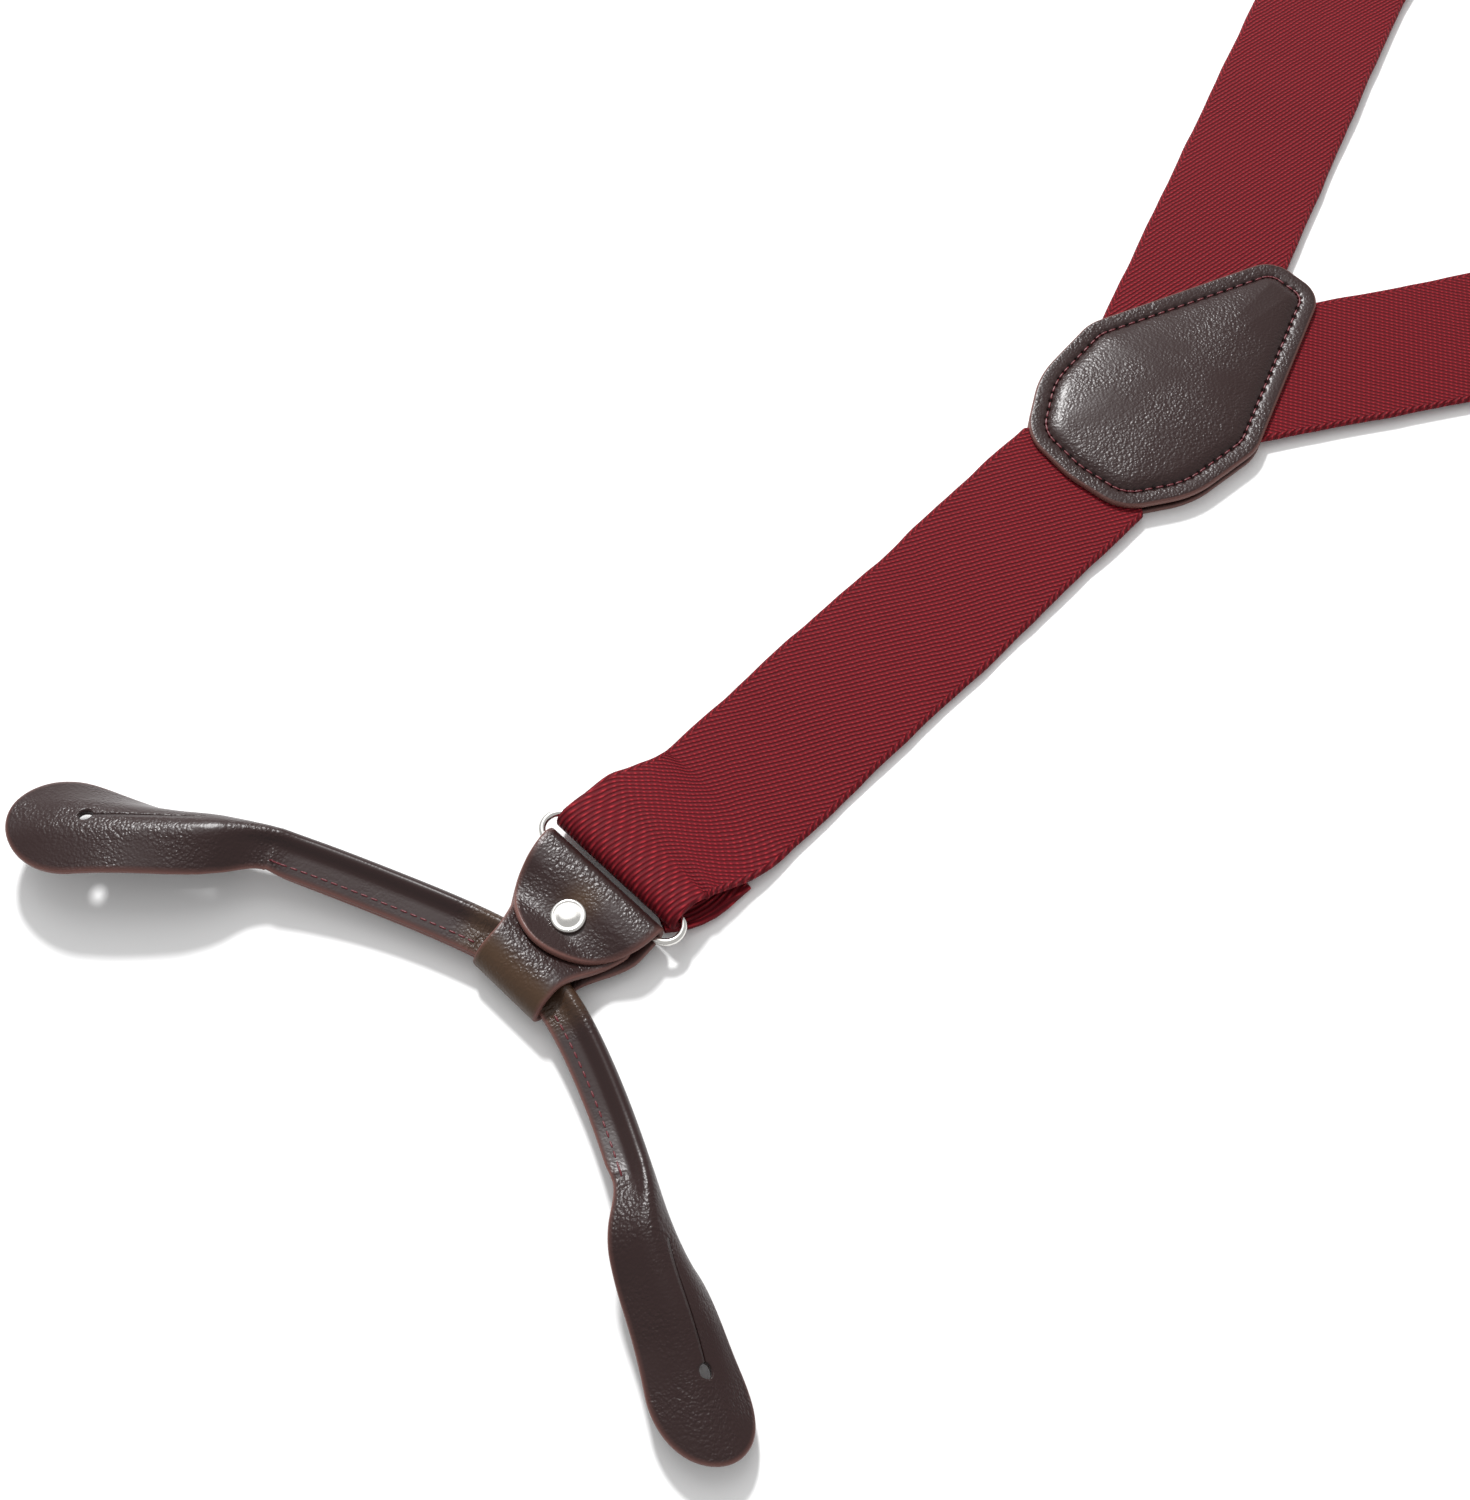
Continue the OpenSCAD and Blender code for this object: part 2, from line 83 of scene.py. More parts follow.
class SuspenderSizes(bpy.types.PropertyGroup):
    """Sizes of the webbing, leather and thread."""
    web_width: length_mm("Webbing width", "Width of the elastic webbing", 35)
    web_thickness: length_mm("Webbing thickness", "Thickness of the elastic webbing", 1.6)
    twill_pitch: length_mm("Twill pitch", "Distance between two diagonal ribs", 0.93)
    stitch_pitch: length_mm("Stitch pitch", "Distance between two stitches", 2.6)
    grain_size: length_mm("Grain size", "Size of one pebble of the leather grain", 0.62)
    wire_radius: length_mm("Wire radius", "Radius of the ring's wire", 0.8)
    arm_leather: length_mm("Arm leather", "Thickness of the leather of the ear strip", 1.15)
    hanger_leather: length_mm("Hanger leather", "Thickness of the hanger leather", 1.45)


class SuspenderColours(bpy.types.PropertyGroup):
    """Colours of the yarn, leather, thread, metal and floor."""
    webbing: colour("Webbing", "Burgundy yarn on the ribs", "75111d")
    # webbing_painted_highlight is a painted highlight: lighter burgundy specks on the tops of the
    # yarn floats.
    webbing_painted_highlight: colour("Webbing specks", "Tops of the yarn floats", "a02830")
    # webbing_painted_shade is painted shade: the darker burgundy painted into the grooves between
    # the ribs.
    webbing_painted_shade: colour("Webbing grooves", "Burgundy between the ribs", "470810")
    leather: colour("Leather", "Dark brown leather", "291918")
    # Painted sheen: olive brown painted where the leather bends round the loops and near the
    # rivets.
    sheen: colour("PaintedSheen leather", "Olive brown where the leather is bent or rubbed", "4a3624")
    edge: colour("Painted edge", "Reddish brown edge paint", "694640")
    thread: colour("Thread", "Burgundy sewing thread", "5c1720")
    nickel: colour("Nickel", "Polished nickel plate", "dcdad6")
    cord: colour("Cord", "Unbleached cotton", "b3a288")
    floor: colour("Floor", "Plain white floor", "f8f8f8")


def settings():
    """The scene's sizes and colours."""
    scene = bpy.context.scene
    return scene.suspender_sizes, scene.suspender_colours


# ---------- small numeric helpers ----------

def smooth(u):
    """3u^2 - 2u^3 with u held between 0 and 1."""
    u = np.clip(u, 0.0, 1.0)
    return u * u * (3 - 2 * u)


def unit(v):
    """Rows of v divided by their length."""
    return v / np.maximum(np.linalg.norm(v, axis=-1, keepdims=True), 1e-12)


def average(v):
    """Trapezium rule for the mean of evenly spaced rows."""
    return (v[1:] + v[:-1]).mean(0) / 2


def arc_length(p):
    """Distance along a polyline at each of its points."""
    return np.concatenate([[0.0], np.cumsum(np.linalg.norm(np.diff(p, axis=0), axis=1))])


def resample(p, step):
    """Points at even distances of about step along a polyline, ends kept."""
    s = arc_length(p)
    t = np.linspace(0, s[-1], max(2, int(round(s[-1] / step)) + 1))
    return np.stack([np.interp(t, s, p[:, k]) for k in range(p.shape[1])], axis=1)


def spline(points, step):
    """Catmull-Rom curve through the points: on each span, half of
    2b + (c - a)u + (2a - 5b + 4c - d)u^2 + (3b - a - 3c + d)u^3, resampled evenly."""
    p = np.asarray(points, float)
    p = np.vstack([2 * p[0] - p[1], p, 2 * p[-1] - p[-2]])
    u = np.linspace(0, 1, 24, endpoint=False)[None, :, None]
    a, b, c, d = (p[k:len(p) - 3 + k][:, None, :] for k in range(4))
    q = 0.5 * (2 * b + (c - a) * u + (2 * a - 5 * b + 4 * c - d) * u ** 2
               + (3 * b - a - 3 * c + d) * u ** 3)
    return resample(np.vstack([q.reshape(-1, p.shape[1]), p[-2:-1]]), step)


def wobble(s, seed, scale, amount):
    """Smooth random height along s: three sines of wavelengths scale, scale/1.7 and scale/2.9."""
    r = np.random.default_rng(seed)
    return amount * sum(w * np.sin(2 * math.pi * s / (scale / f) + r.uniform(0, 6.28))
                        for w, f in ((0.6, 1.0), (0.3, 1.7), (0.2, 2.9)))


def grid_quads(rows, cols, wrap=False, loop=False):
    """Quads of a rows x cols grid of points; wrap joins the last column to the first, and loop
    the last row to the first."""
    index = np.arange(rows * cols).reshape(rows, cols)
    if wrap:
        index = np.hstack([index, index[:, :1]])
    if loop:
        index = np.vstack([index, index[:1]])
    return np.stack([index[:-1, :-1], index[1:, :-1], index[1:, 1:], index[:-1, 1:]],
                    axis=-1).reshape(-1, 4)


def fan(hub, start, count, turn=1):
    """Triangles from the point hub to each side of the ring of count points from start on;
    turn -1 runs them the other way round."""
    j = np.arange(count)
    sides = [start + j, start + (j + 1) % count]
    return np.stack([np.full(count, hub), *sides[::turn]], axis=1)


def solid(name, points, faces, attributes=None, material=None, weld=0.0):
    """A mesh from points in mm and a list of face arrays. The sign of the enclosed volume,
    the sum of a.(b x c)/6 over fans of every face, decides whether faces are turned over."""
    volume = sum(np.einsum("ij,ij->i", points[f[:, 0]],
                           np.cross(points[f[:, k]], points[f[:, k + 1]])).sum()
                 for f in faces if len(f) for k in range(1, f.shape[1] - 1))
    if volume < 0:
        faces = [f[:, ::-1] for f in faces]
    mesh = bpy.data.meshes.new(name)
    mesh.from_pydata((points * MM).tolist(), [], [face for f in faces for face in f.tolist()])
    for key, values in (attributes or {}).items():
        store = mesh.attributes.new(key, "FLOAT_VECTOR", "POINT")
        store.data.foreach_set("vector", np.asarray(values, np.float32).ravel())
    if weld:
        work = bmesh.new()
        work.from_mesh(mesh)
        bmesh.ops.remove_doubles(work, verts=work.verts, dist=weld * MM)
        bmesh.ops.dissolve_degenerate(work, edges=work.edges, dist=weld * MM)
        work.to_mesh(mesh)
        work.free()
    mesh.update()
    mesh.shade_smooth()
    obj = bpy.data.objects.new(name, mesh)
    bpy.context.scene.collection.objects.link(obj)
    if material:
        mesh.materials.append(material)
    return obj


def loft(name, rings, attributes, material):
    """A closed tube through rings of points, shape (rows, columns, 3), with a fan at each end."""
    n, m = rings.shape[:2]
    points = np.vstack([rings.reshape(-1, 3), rings[0].mean(0), rings[-1].mean(0)])
    full = {k: np.vstack([v.reshape(-1, 3), v[0].mean(0), v[-1].mean(0)])
            for k, v in attributes.items()}
    faces = [grid_quads(n, m, wrap=True), fan(n * m, 0, m), fan(n * m + 1, (n - 1) * m, m, -1)]
    return solid(name, points, faces, full, material)


# ---------- materials ----------

def add(tree, kind, inputs=None, **options):
    """A shader node; inputs maps socket names or numbers to values or to other sockets."""
    node = tree.nodes.new("ShaderNode" + kind)
    for key, value in options.items():
        setattr(node, key, value)
    for key, value in (inputs or {}).items():
        if isinstance(value, bpy.types.NodeSocket):
            tree.links.new(value, node.inputs[key])
        else:
            node.inputs[key].default_value = value
    return node


def calc(tree, operation, *values):
    """Result socket of a math node."""
    return add(tree, "Math", dict(enumerate(values)), operation=operation).outputs[0]


def mix(tree, factor, a, b):
    """Result socket of a colour mix from a to b."""
    return add(tree, "Mix", {0: factor, 6: a, 7: b}, data_type="RGBA").outputs[2]


def rgba(c):
    """A colour with full alpha."""
    return (c[0], c[1], c[2], 1.0)


# Each look adds its nodes to a material's tree and returns the inputs of its Principled shader.
# Attributes hold millimetres, so their patterns are scaled per millimetre; Object coordinates
# are in metres, so theirs are scaled per metre.

def webbing_look(tree, sizes, colours):
    """Elastic twill of satin yarn: matt burgundy diagonal ribs, reversed in a narrow selvage, with
    painted shade that darkens the base colour in the grooves between them and painted highlights
    on the tops of the floats. Height is rib (0.7 + 0.3 bead) and a little fuzz, where rib and bead
    are sines between 0 and 1, across the ribs and along the strap."""
    place = add(tree, "Attribute", attribute_name="weave").outputs["Vector"]
    split = add(tree, "SeparateXYZ", {0: place})
    x, y = split.outputs[0], split.outputs[1]
    pitch, weft, selvage = sizes.twill_pitch / MM, 0.98, 1.1
    slant = 29 * DEG
    # Distance across the ribs; the sign of the slant turns over in the selvage.
    inner = calc(tree, "LESS_THAN", calc(tree, "ABSOLUTE", x),
                 sizes.web_width / MM / 2 - selvage)
    turn = calc(tree, "MULTIPLY_ADD", inner, 2.0, -1.0)
    noise = add(tree, "TexNoise", {"Vector": place, "Scale": 0.35, "Detail": 2.0})
    drift = calc(tree, "MULTIPLY_ADD", noise.outputs[0], 0.5, -0.25)
    across = calc(tree, "SUBTRACT", calc(tree, "MULTIPLY", x, math.cos(slant)),
                  calc(tree, "MULTIPLY", calc(tree, "MULTIPLY", y, turn), math.sin(slant)))
    across = calc(tree, "ADD", across, drift)
    phase = calc(tree, "MULTIPLY", across, 2 * math.pi / pitch)
    rib = calc(tree, "MULTIPLY_ADD", calc(tree, "SINE", phase), 0.5, 0.5)
    # Each rib is a row of short floats, one a weft apart and stepped from rib to rib.
    step = calc(tree, "MULTIPLY", calc(tree, "FLOOR", calc(tree, "DIVIDE", across, pitch)), 2.1)
    along = calc(tree, "ADD", calc(tree, "MULTIPLY", y, 2 * math.pi / weft), step)
    bead = calc(tree, "MULTIPLY_ADD", calc(tree, "SINE", along), 0.5, 0.5)
    height = calc(tree, "MULTIPLY", rib, calc(tree, "MULTIPLY_ADD", bead, 0.3, 0.7))
    fuzz = add(tree, "TexNoise", {"Vector": place, "Scale": 6.0, "Detail": 3.0}).outputs[0]
    height = calc(tree, "MULTIPLY_ADD", fuzz, 0.35, height)
    bump = add(tree, "Bump", {"Height": height, "Strength": 0.9, "Distance": 0.28 * MM})
    # Painted shade: the base colour runs from the rib tops' burgundy to a darker one in the
    # grooves, following the height.
    shade = calc(tree, "POWER", calc(tree, "MULTIPLY", height, 0.8), 1.1)
    base = mix(tree, shade, rgba(colours.webbing_painted_shade), rgba(colours.webbing))
    # Painted highlight: the tops of the floats are lightened in the base colour as small specks,
    # as if they caught the light.
    painted_glint = calc(tree, "POWER", calc(tree, "MULTIPLY", calc(tree, "MULTIPLY", rib, bead),
                                     calc(tree, "ADD", fuzz, 0.45)), 3.0)
    base = mix(tree, painted_glint, base, rgba(colours.webbing_painted_highlight))
    return {"Base Color": base, "Roughness": 0.62, "Normal": bump.outputs[0],
            "Sheen Weight": 0.03, "Sheen Roughness": 0.45,
            "Sheen Tint": rgba((0.9, 0.3, 0.33)), "Specular IOR Level": 0.12}


def leather_look(tree, sizes, colours):
    """Glazed pebbled calf: soft cells a fraction of a millimetre wide break up the highlights.
    The edge_crinkle_sheen attribute holds (edge paint, crinkle, painted sheen): painted edges are
    smoother and reddish, crinkle above 0 adds wrinkles and below 0 smooths the grain, and the
    painted sheen mixes olive brown into the base colour."""
    place = add(tree, "Attribute", attribute_name="grain").outputs["Vector"]
    edge_crinkle_sheen = add(tree, "SeparateXYZ",
                 {0: add(tree, "Attribute", attribute_name="edge_crinkle_sheen").outputs["Vector"]})
    edge, crinkle, painted_sheen = edge_crinkle_sheen.outputs
    # Noise moves each place by up to about a cell, so the pebbles differ in shape.
    warp = add(tree, "TexNoise", {"Vector": place, "Scale": 0.8, "Detail": 2.0})
    moved = add(tree, "VectorMath", {0: warp.outputs["Color"], 1: (0.9, 0.9, 0.9), 2: place},
                operation="MULTIPLY_ADD").outputs[0]
    cells = add(tree, "TexVoronoi", {"Vector": moved, "Scale": MM / sizes.grain_size,
                                     "Smoothness": 0.6}, feature="SMOOTH_F1")
    pebble = calc(tree, "SUBTRACT", 1.0, cells.outputs["Distance"])
    fine = add(tree, "TexNoise", {"Vector": place, "Scale": 3.0, "Detail": 3.0})
    stretched = add(tree, "Mapping", {"Vector": place, "Scale": (1.3, 0.35, 1.0)}).outputs[0]
    folds = add(tree, "TexNoise", {"Vector": stretched, "Scale": 1.0, "Detail": 3.0,
                                   "Distortion": 0.6})
    wrinkle = calc(tree, "MULTIPLY", folds.outputs[0], calc(tree, "MAXIMUM", crinkle, 0.0))
    height = calc(tree, "MULTIPLY_ADD", fine.outputs[0], 0.25, pebble)
    height = calc(tree, "MULTIPLY_ADD", wrinkle, 6.0, height)
    # The pressed grain fades in and out over a centimetre or so, and is flat under edge paint.
    patchy = add(tree, "TexNoise", {"Vector": place, "Scale": 0.09, "Detail": 1.0})
    strength = add(tree, "MapRange", {"Value": patchy.outputs[0], 1: 0.38, 2: 0.6, 3: 0.22,
                                      4: 0.75}).outputs[0]
    unpainted = calc(tree, "SUBTRACT", 1.0, calc(tree, "MULTIPLY", edge, 0.8))
    strength = calc(tree, "MULTIPLY", strength, unpainted)
    grained = calc(tree, "ADD", 1.0, calc(tree, "MINIMUM", crinkle, 0.0))
    strength = calc(tree, "MULTIPLY", strength, grained)
    bump = add(tree, "Bump", {"Height": height, "Strength": strength, "Distance": 0.2 * MM})
    # Painted sheen: olive brown mixed into the base colour by the third value of
    # edge_crinkle_sheen.
    base = mix(tree, painted_sheen, rgba(colours.leather), rgba(colours.sheen))
    base = mix(tree, edge, base, rgba(colours.edge))
    cloud = add(tree, "TexNoise", {"Vector": place, "Scale": 0.12, "Detail": 2.0})
    rough = calc(tree, "MULTIPLY_ADD", cloud.outputs[0], 0.14, 0.25)
    rough = calc(tree, "MULTIPLY_ADD", edge, 0.12, rough)
    return {"Base Color": base, "Roughness": rough, "Normal": bump.outputs[0],
            "Specular IOR Level": 0.27, "Coat Weight": 0.06, "Coat Roughness": 0.3}


def thread_look(tree, _, colours):
    """Waxed polyester thread: two plies seen as a fine slanting ripple, a little shiny."""
    place = add(tree, "TexCoord").outputs["Object"]
    wave = add(tree, "TexWave", {"Vector": place, "Scale": 700.0, "Distortion": 1.0},
               bands_direction="DIAGONAL")
    bump = add(tree, "Bump", {"Height": wave.outputs[1], "Strength": 0.5, "Distance": 0.06 * MM})
    return {"Base Color": rgba(colours.thread), "Roughness": 0.42, "Normal": bump.outputs[0]}


def nickel_look(tree, _, colours):
    """Polished nickel plate on steel: a bright mirror, clouded by handling and very slightly
    uneven, so that its reflections waver."""
    place = add(tree, "TexCoord").outputs["Object"]
    cloud = add(tree, "TexNoise", {"Vector": place, "Scale": 900.0, "Detail": 2.0})
    rough = calc(tree, "MULTIPLY_ADD", cloud.outputs[0], 0.12, 0.1)
    dents = add(tree, "TexNoise", {"Vector": place, "Scale": 420.0, "Detail": 1.0})
    bump = add(tree, "Bump", {"Height": dents.outputs[0], "Strength": 0.15,
                              "Distance": 0.25 * MM})
    return {"Base Color": rgba(colours.nickel), "Metallic": 1.0, "Roughness": rough,
            "Normal": bump.outputs[0]}


def cord_look(_tree, _, colours):
    """Twisted unbleached cotton, matt; only its worn ends could ever be seen."""
    return {"Base Color": rgba(colours.cord), "Roughness": 0.9}


def floor_look(_tree, _, colours):
    """Matt white paper sweep, with almost no gloss."""
    return {"Base Color": rgba(colours.floor), "Roughness": 0.9, "Specular IOR Level": 0.1}


LOOKS = {"burgundy elastic twill": webbing_look, "dark brown glazed leather": leather_look,
         "burgundy waxed thread": thread_look, "polished nickel": nickel_look,
         "cotton cord": cord_look, "matt white floor": floor_look}


def material(name):
    """The material of that name, made once, with its look on one Principled shader."""
    found = bpy.data.materials.get(name)
    if found is None:
        found = bpy.data.materials.new(name)
        found.use_nodes = True
        tree = found.node_tree
        tree.nodes.clear()
        shader = add(tree, "BsdfPrincipled", LOOKS[name](tree, *settings()))
        add(tree, "OutputMaterial", {0: shader.outputs[0]})
    return found


# ---------- layout, in millimetres ----------

RING_Z = 4.5               # height of every ring's middle over the table
BACK_RING = np.array([-3.8, -181.0, RING_Z])
BAR_HALF = 3.5             # from a ring's middle to the middle of each long bar
FRONT_RING_Y = 250.0       # from a front section's fold point, along it
ADJUSTER_Y = 60.0
# Each end with its hanger's lean: shift across for each millimetre away from the ring's bar.
ENDS = ((BACK, 0.084), (LEFT, 0.0), (RIGHT, 0.0))
# start point, heading and straight run, curve radius, heading of the front section
SHOULDERS = {LEFT: ((0.0, -17.2), 19.5, 130.0, 600.0, 4.5),
             RIGHT: ((0.0, -6.2), -33.0, 60.0, 500.0, -6.0)}


def heading_vector(h):
    """Direction in the plane for a heading in degrees, measured from +Y towards -X."""
    return np.stack([-np.sin(np.asarray(h) * DEG), np.cos(np.asarray(h) * DEG)], axis=-1)


def shoulder_plan(side, step):
    """Middle line of a shoulder strap in the plane: a straight run, then an arc whose heading
    falls evenly to the front section's, p + r(cos h0 - cos h, sin h0 - sin h)."""
    start, h0, run, radius, h1 = SHOULDERS[side]
    sign = 1.0 if h0 > 0 else -1.0
    corner = np.array(start) + run * heading_vector(h0)
    h = np.linspace(h0, h1, 60)[:, None]
    arc = corner + sign * radius * np.hstack([np.cos(h0 * DEG) - np.cos(h * DEG),
                                              np.sin(h0 * DEG) - np.sin(h * DEG)])
    return resample(np.vstack([[start], arc]), step)


def front_origin(side):
    """Fold point and heading of a front section."""
    return shoulder_plan(side, 5.0)[-1], SHOULDERS[side][4]


def turned(p, origin, degrees):
    """Points turned about Z by degrees, then moved to the origin."""
    c, s = math.cos(degrees * DEG), math.sin(degrees * DEG)
    matrix = np.array([[c, s, 0], [-s, c, 0], [0, 0, 1]])
    return p @ matrix + np.asarray(origin)


def in_front(side, p):
    """Points of a front section's own frame (+Y outwards along the strap) in the row frame."""
    origin, h = front_origin(side)
    return turned(p, [origin[0], origin[1], 0], h)


def in_end(end, p):
    """Points of an end's own frame (origin at the ring, +Y towards the webbing)."""
    if end == BACK:
        return p + BACK_RING
    origin, h = front_origin(end)
    ring = origin + FRONT_RING_Y * heading_vector(h)
    return turned(p, [ring[0], ring[1], RING_Z], 180 + h)


# ---------- webbing ----------

FOLD_RADIUS = 2.3          # of the webbing's middle line round a ring's bar



def strap(name, mid, up, left, right, thickness, along, place):
    """A band with round selvages: at each point of the middle line, the section runs along
    across = tangent x up from -left to right at height +t/2, round an edge by a half circle,
    back at -t/2 and round the other edge."""
    tangent = unit(np.gradient(mid, axis=0))
    up = unit(up - (up * tangent).sum(1, keepdims=True) * tangent)
    across = np.cross(tangent, up)
    r = thickness / 2
    columns, round_columns = 37, 6
    flat = np.linspace(0, 1, columns)
    turn = np.linspace(0, math.pi, round_columns + 2)[1:-1]
    share = np.concatenate([flat, np.ones(round_columns), flat[::-1], np.zeros(round_columns)])
    shift = np.concatenate([r * (1 - 2 * flat), r * (np.sin(turn) - 1),
                            r * (1 - 2 * flat[::-1]), r * (1 - np.sin(turn))])
    lift = np.concatenate([np.full(columns, r), r * np.cos(turn), np.full(columns, -r),
                           -r * np.cos(turn)])
    c = -left[:, None] + (left + right)[:, None] * share + shift
    rings = mid[:, None] + across[:, None] * c[..., None] + up[:, None] * lift[None, :, None]
    weave = np.stack([c, np.broadcast_to(along[:, None], c.shape),
                      np.broadcast_to(lift, c.shape)], axis=-1)
    obj = loft(name, place(rings.reshape(-1, 3)).reshape(rings.shape), {"weave": weave},
               material("burgundy elastic twill"))
    return obj


def side_path(points, step=0.8):
    """A middle line in the Y-Z plane and its outward side, the tangent turned by a right angle."""
    yz = spline(points, step)
    tangent = unit(np.gradient(yz, axis=0))
    mid = np.column_stack([np.zeros(len(yz)), yz])
    up = np.column_stack([np.zeros(len(yz)), tangent[:, 1], -tangent[:, 0]])
    return mid, up


def round_bar(y, z, r, start, end, n=9):
    """Points on a circle about a bar, from angle start to end in degrees."""
    a = np.linspace(start, end, n) * DEG
    return [(y + r * math.cos(t), z + r * math.sin(t)) for t in a]


def back_webbing():
    """From inside the patch down to the ring, over the bar and back to its hem underneath: the
    strap along a side path of (y, z) points, moved across towards the ring's middle."""
    sizes, _ = settings()
    t, w = sizes.web_thickness / MM, sizes.web_width / MM / 2
    ring_x, ring_y, ring_z = BACK_RING
    points = [(-4.0, 3.6), (-12, 3.6), (-26, 3.5), (-31.0, 2.7), (-36, 2.0), (-46, 1.95),
              (-60, 1.6), (-81, 1.3), (-115, 1.35), (-147, 1.35), (-157, 2.1), (-163, 3.5),
              (-167.0, 4.7), (-169.2, 5.0), (-170.8, 5.3), (-172.4, 5.95), (-174.4, 6.65)]
    points += round_bar(ring_y + BAR_HALF, ring_z, FOLD_RADIUS, 90, 270)
    points += [(-174, 1.75), (-170.5, 1.35), (-166, 1.1), (-161.5, 0.95)]
    mid, up = side_path(points)
    s = arc_length(mid)
    y, top = mid[:, 1], mid[:, 2]
    nose = s > s[np.argmin(y)]
    shift = ring_x * smooth((-152 - y) / 19)
    shift = np.where(nose, ring_x + 3.6 * smooth((y + 177) / 9), shift)
    mid[:, 0] = shift + wobble(s, 3, 70, 0.25)
    mid[:, 2] = top + np.where(nose, 0, wobble(s, 5, 45, 0.2) * smooth((y + 165) / 20)
                               * smooth((-45 - y) / 15))
    # Ribs stand steeper on the nose, so their coordinate along the strap runs slower there.
    rate = np.where(nose, 0.3, 1 - 0.7 * smooth((-168.5 - y) / 3))
    along = np.concatenate([[0], np.cumsum(np.diff(s) * rate[1:])])
    half = w + wobble(s, 8, 23, 0.12) - 0.5 * smooth((-168 - y) / 6)
    # The end that is lapped inside the patch is cut to a tongue.
    tongue_half = 11.5
    half = np.where(nose, half, half - (w - tongue_half) * smooth((y + 37) / 5))
    obj = strap("back_webbing", mid, up, half, half, t, along, lambda p: p)
    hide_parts("back_strap_end", "back_strap")
    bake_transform(obj)


def shoulder_webbing(side):
    """From the mitre inside the patch over the shoulder to the front ring, in one length: the
    strap along the plan line, rising from the table's level to the adjuster's."""
    sizes, _ = settings()
    t, w = sizes.web_thickness / MM, sizes.web_width / MM / 2
    plan = shoulder_plan(side, 1.6)
    bend = arc_length(plan)[-1]
    fold, way = plan[-1], heading_vector(SHOULDERS[side][4])
    end = FRONT_RING_Y - 6.7
    front = fold + np.linspace(0, end, 190)[1:, None] * way
    line = np.vstack([plan, front])
    s = arc_length(line)
    z = 2.0 + 4.8 * smooth((s - bend - 6) / 36)
    z += wobble(s, 11 + len(side), 80, 0.3) * smooth((s - 50) / 30) * smooth((bend - s) / 40)
    mid = np.column_stack([line, z])
    up = np.tile([0.0, 0.0, 1.0], (len(mid), 1))
    tangent = unit(np.gradient(line, axis=0))
    # The two straps meet on a mitre at one X inside the patch, and a corner under 8 mm is cut.
    mitre_x, clear, corner = 2.1, 0.1, 8
    gap = (mitre_x - line[:, 0]) / tangent[:, 1]
    half = w + wobble(s, 21 + len(side), 27, 0.12)
    room = (gap if side == LEFT else -gap) - clear
    cut = np.where(s > 70, half, np.minimum(half, room))
    left, right = (half, cut) if side == LEFT else (cut, half)
    keep = (left + right) > corner
    obj = strap(side + "_shoulder_webbing", mid[keep], up[keep], left[keep], right[keep], t,
                s[keep], lambda p: p)
    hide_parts(side + "_shoulder_strap", side + "_front_strap")
    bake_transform(obj)


def front_webbings(side):
    """The two short runs of a front strap: round the ring, and from the adjuster's lower bar.
    Both are straps along side paths of (y, z) points, from the ring and from the adjuster."""
    t, w = 1.35, 17.0
    mid, up = side_path([(72, -0.72), (40, -0.72), (12, -0.74), (6.5, -1.5)]
                        + round_bar(BAR_HALF, 0, FOLD_RADIUS, 270, 90)
                        + [(6.5, 1.5), (12, 0.74), (40, 0.72), (72, 0.72)])
    s, half = arc_length(mid), np.full(len(mid), w)
    ring = strap(side + "_ring_run", mid, up, half, half, t, s, lambda p: in_end(side, p))
    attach(ring, side + "_end")
    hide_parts(side + "_ring_webbing")
    bar_y, bar_z, bar_fold = 12.5, 3.55, 1.45
    points = [(bar_y + 12, 3.7), (bar_y + 7, 4.1), (bar_y + 3.5, 4.8)]
    points += round_bar(bar_y, bar_z, bar_fold, 90, 270)
    points += [(bar_y + 6, 2.1), (bar_y + 20, 2.12), (121.8, 2.12)]
    mid, up = side_path([(-y, z) for y, z in points])
    mid[:, 1] *= -1
    up[:, 1] *= -1
    s, half = arc_length(mid), np.full(len(mid), w)
    move = np.array([0, ADJUSTER_Y, 0])
    back = strap(side + "_return_run", mid, up, half, half, t, s,
                 lambda p: in_front(side, p + move))
    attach(back, side + "_adjuster")
    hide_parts(side + "_return_webbing")


# ---------- thread ----------

def stitches(name, centres, along, up, size, body):
    """Stitches as blunt ellipsoids of full size (a, b, c): the centre, plus half of
    along a cos v + side b q cos u + up c q sin u, where q is sin v to the power 0.6."""
    along, up = unit(along), unit(up)
    side = np.cross(along, up)
    rows, columns = 9, 10
    u = np.linspace(0, 2 * math.pi, columns, endpoint=False)
    v = np.linspace(0, math.pi, rows)
    a = (np.cos(v)[:, None] * np.ones(columns)).ravel()
    q = np.sin(v)[:, None] ** 0.6
    b, c = (q * np.cos(u)).ravel(), (q * np.sin(u)).ravel()
    shapes = np.stack([a * size[0] / 2, b * size[1] / 2, c * size[2] / 2], axis=1)
    basis = np.stack([along, side, up], axis=1)
    points = centres[:, None, :] + np.einsum("vk,nkd->nvd", shapes, basis)
    quads = grid_quads(rows, columns, wrap=True)
    first = rows * columns * np.arange(len(centres))
    faces = (quads[None] + first[:, None, None]).reshape(-1, 4)
    obj = solid(name, points.reshape(-1, 3), [faces], None, material("burgundy waxed thread"))
    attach(obj, body)
    return obj


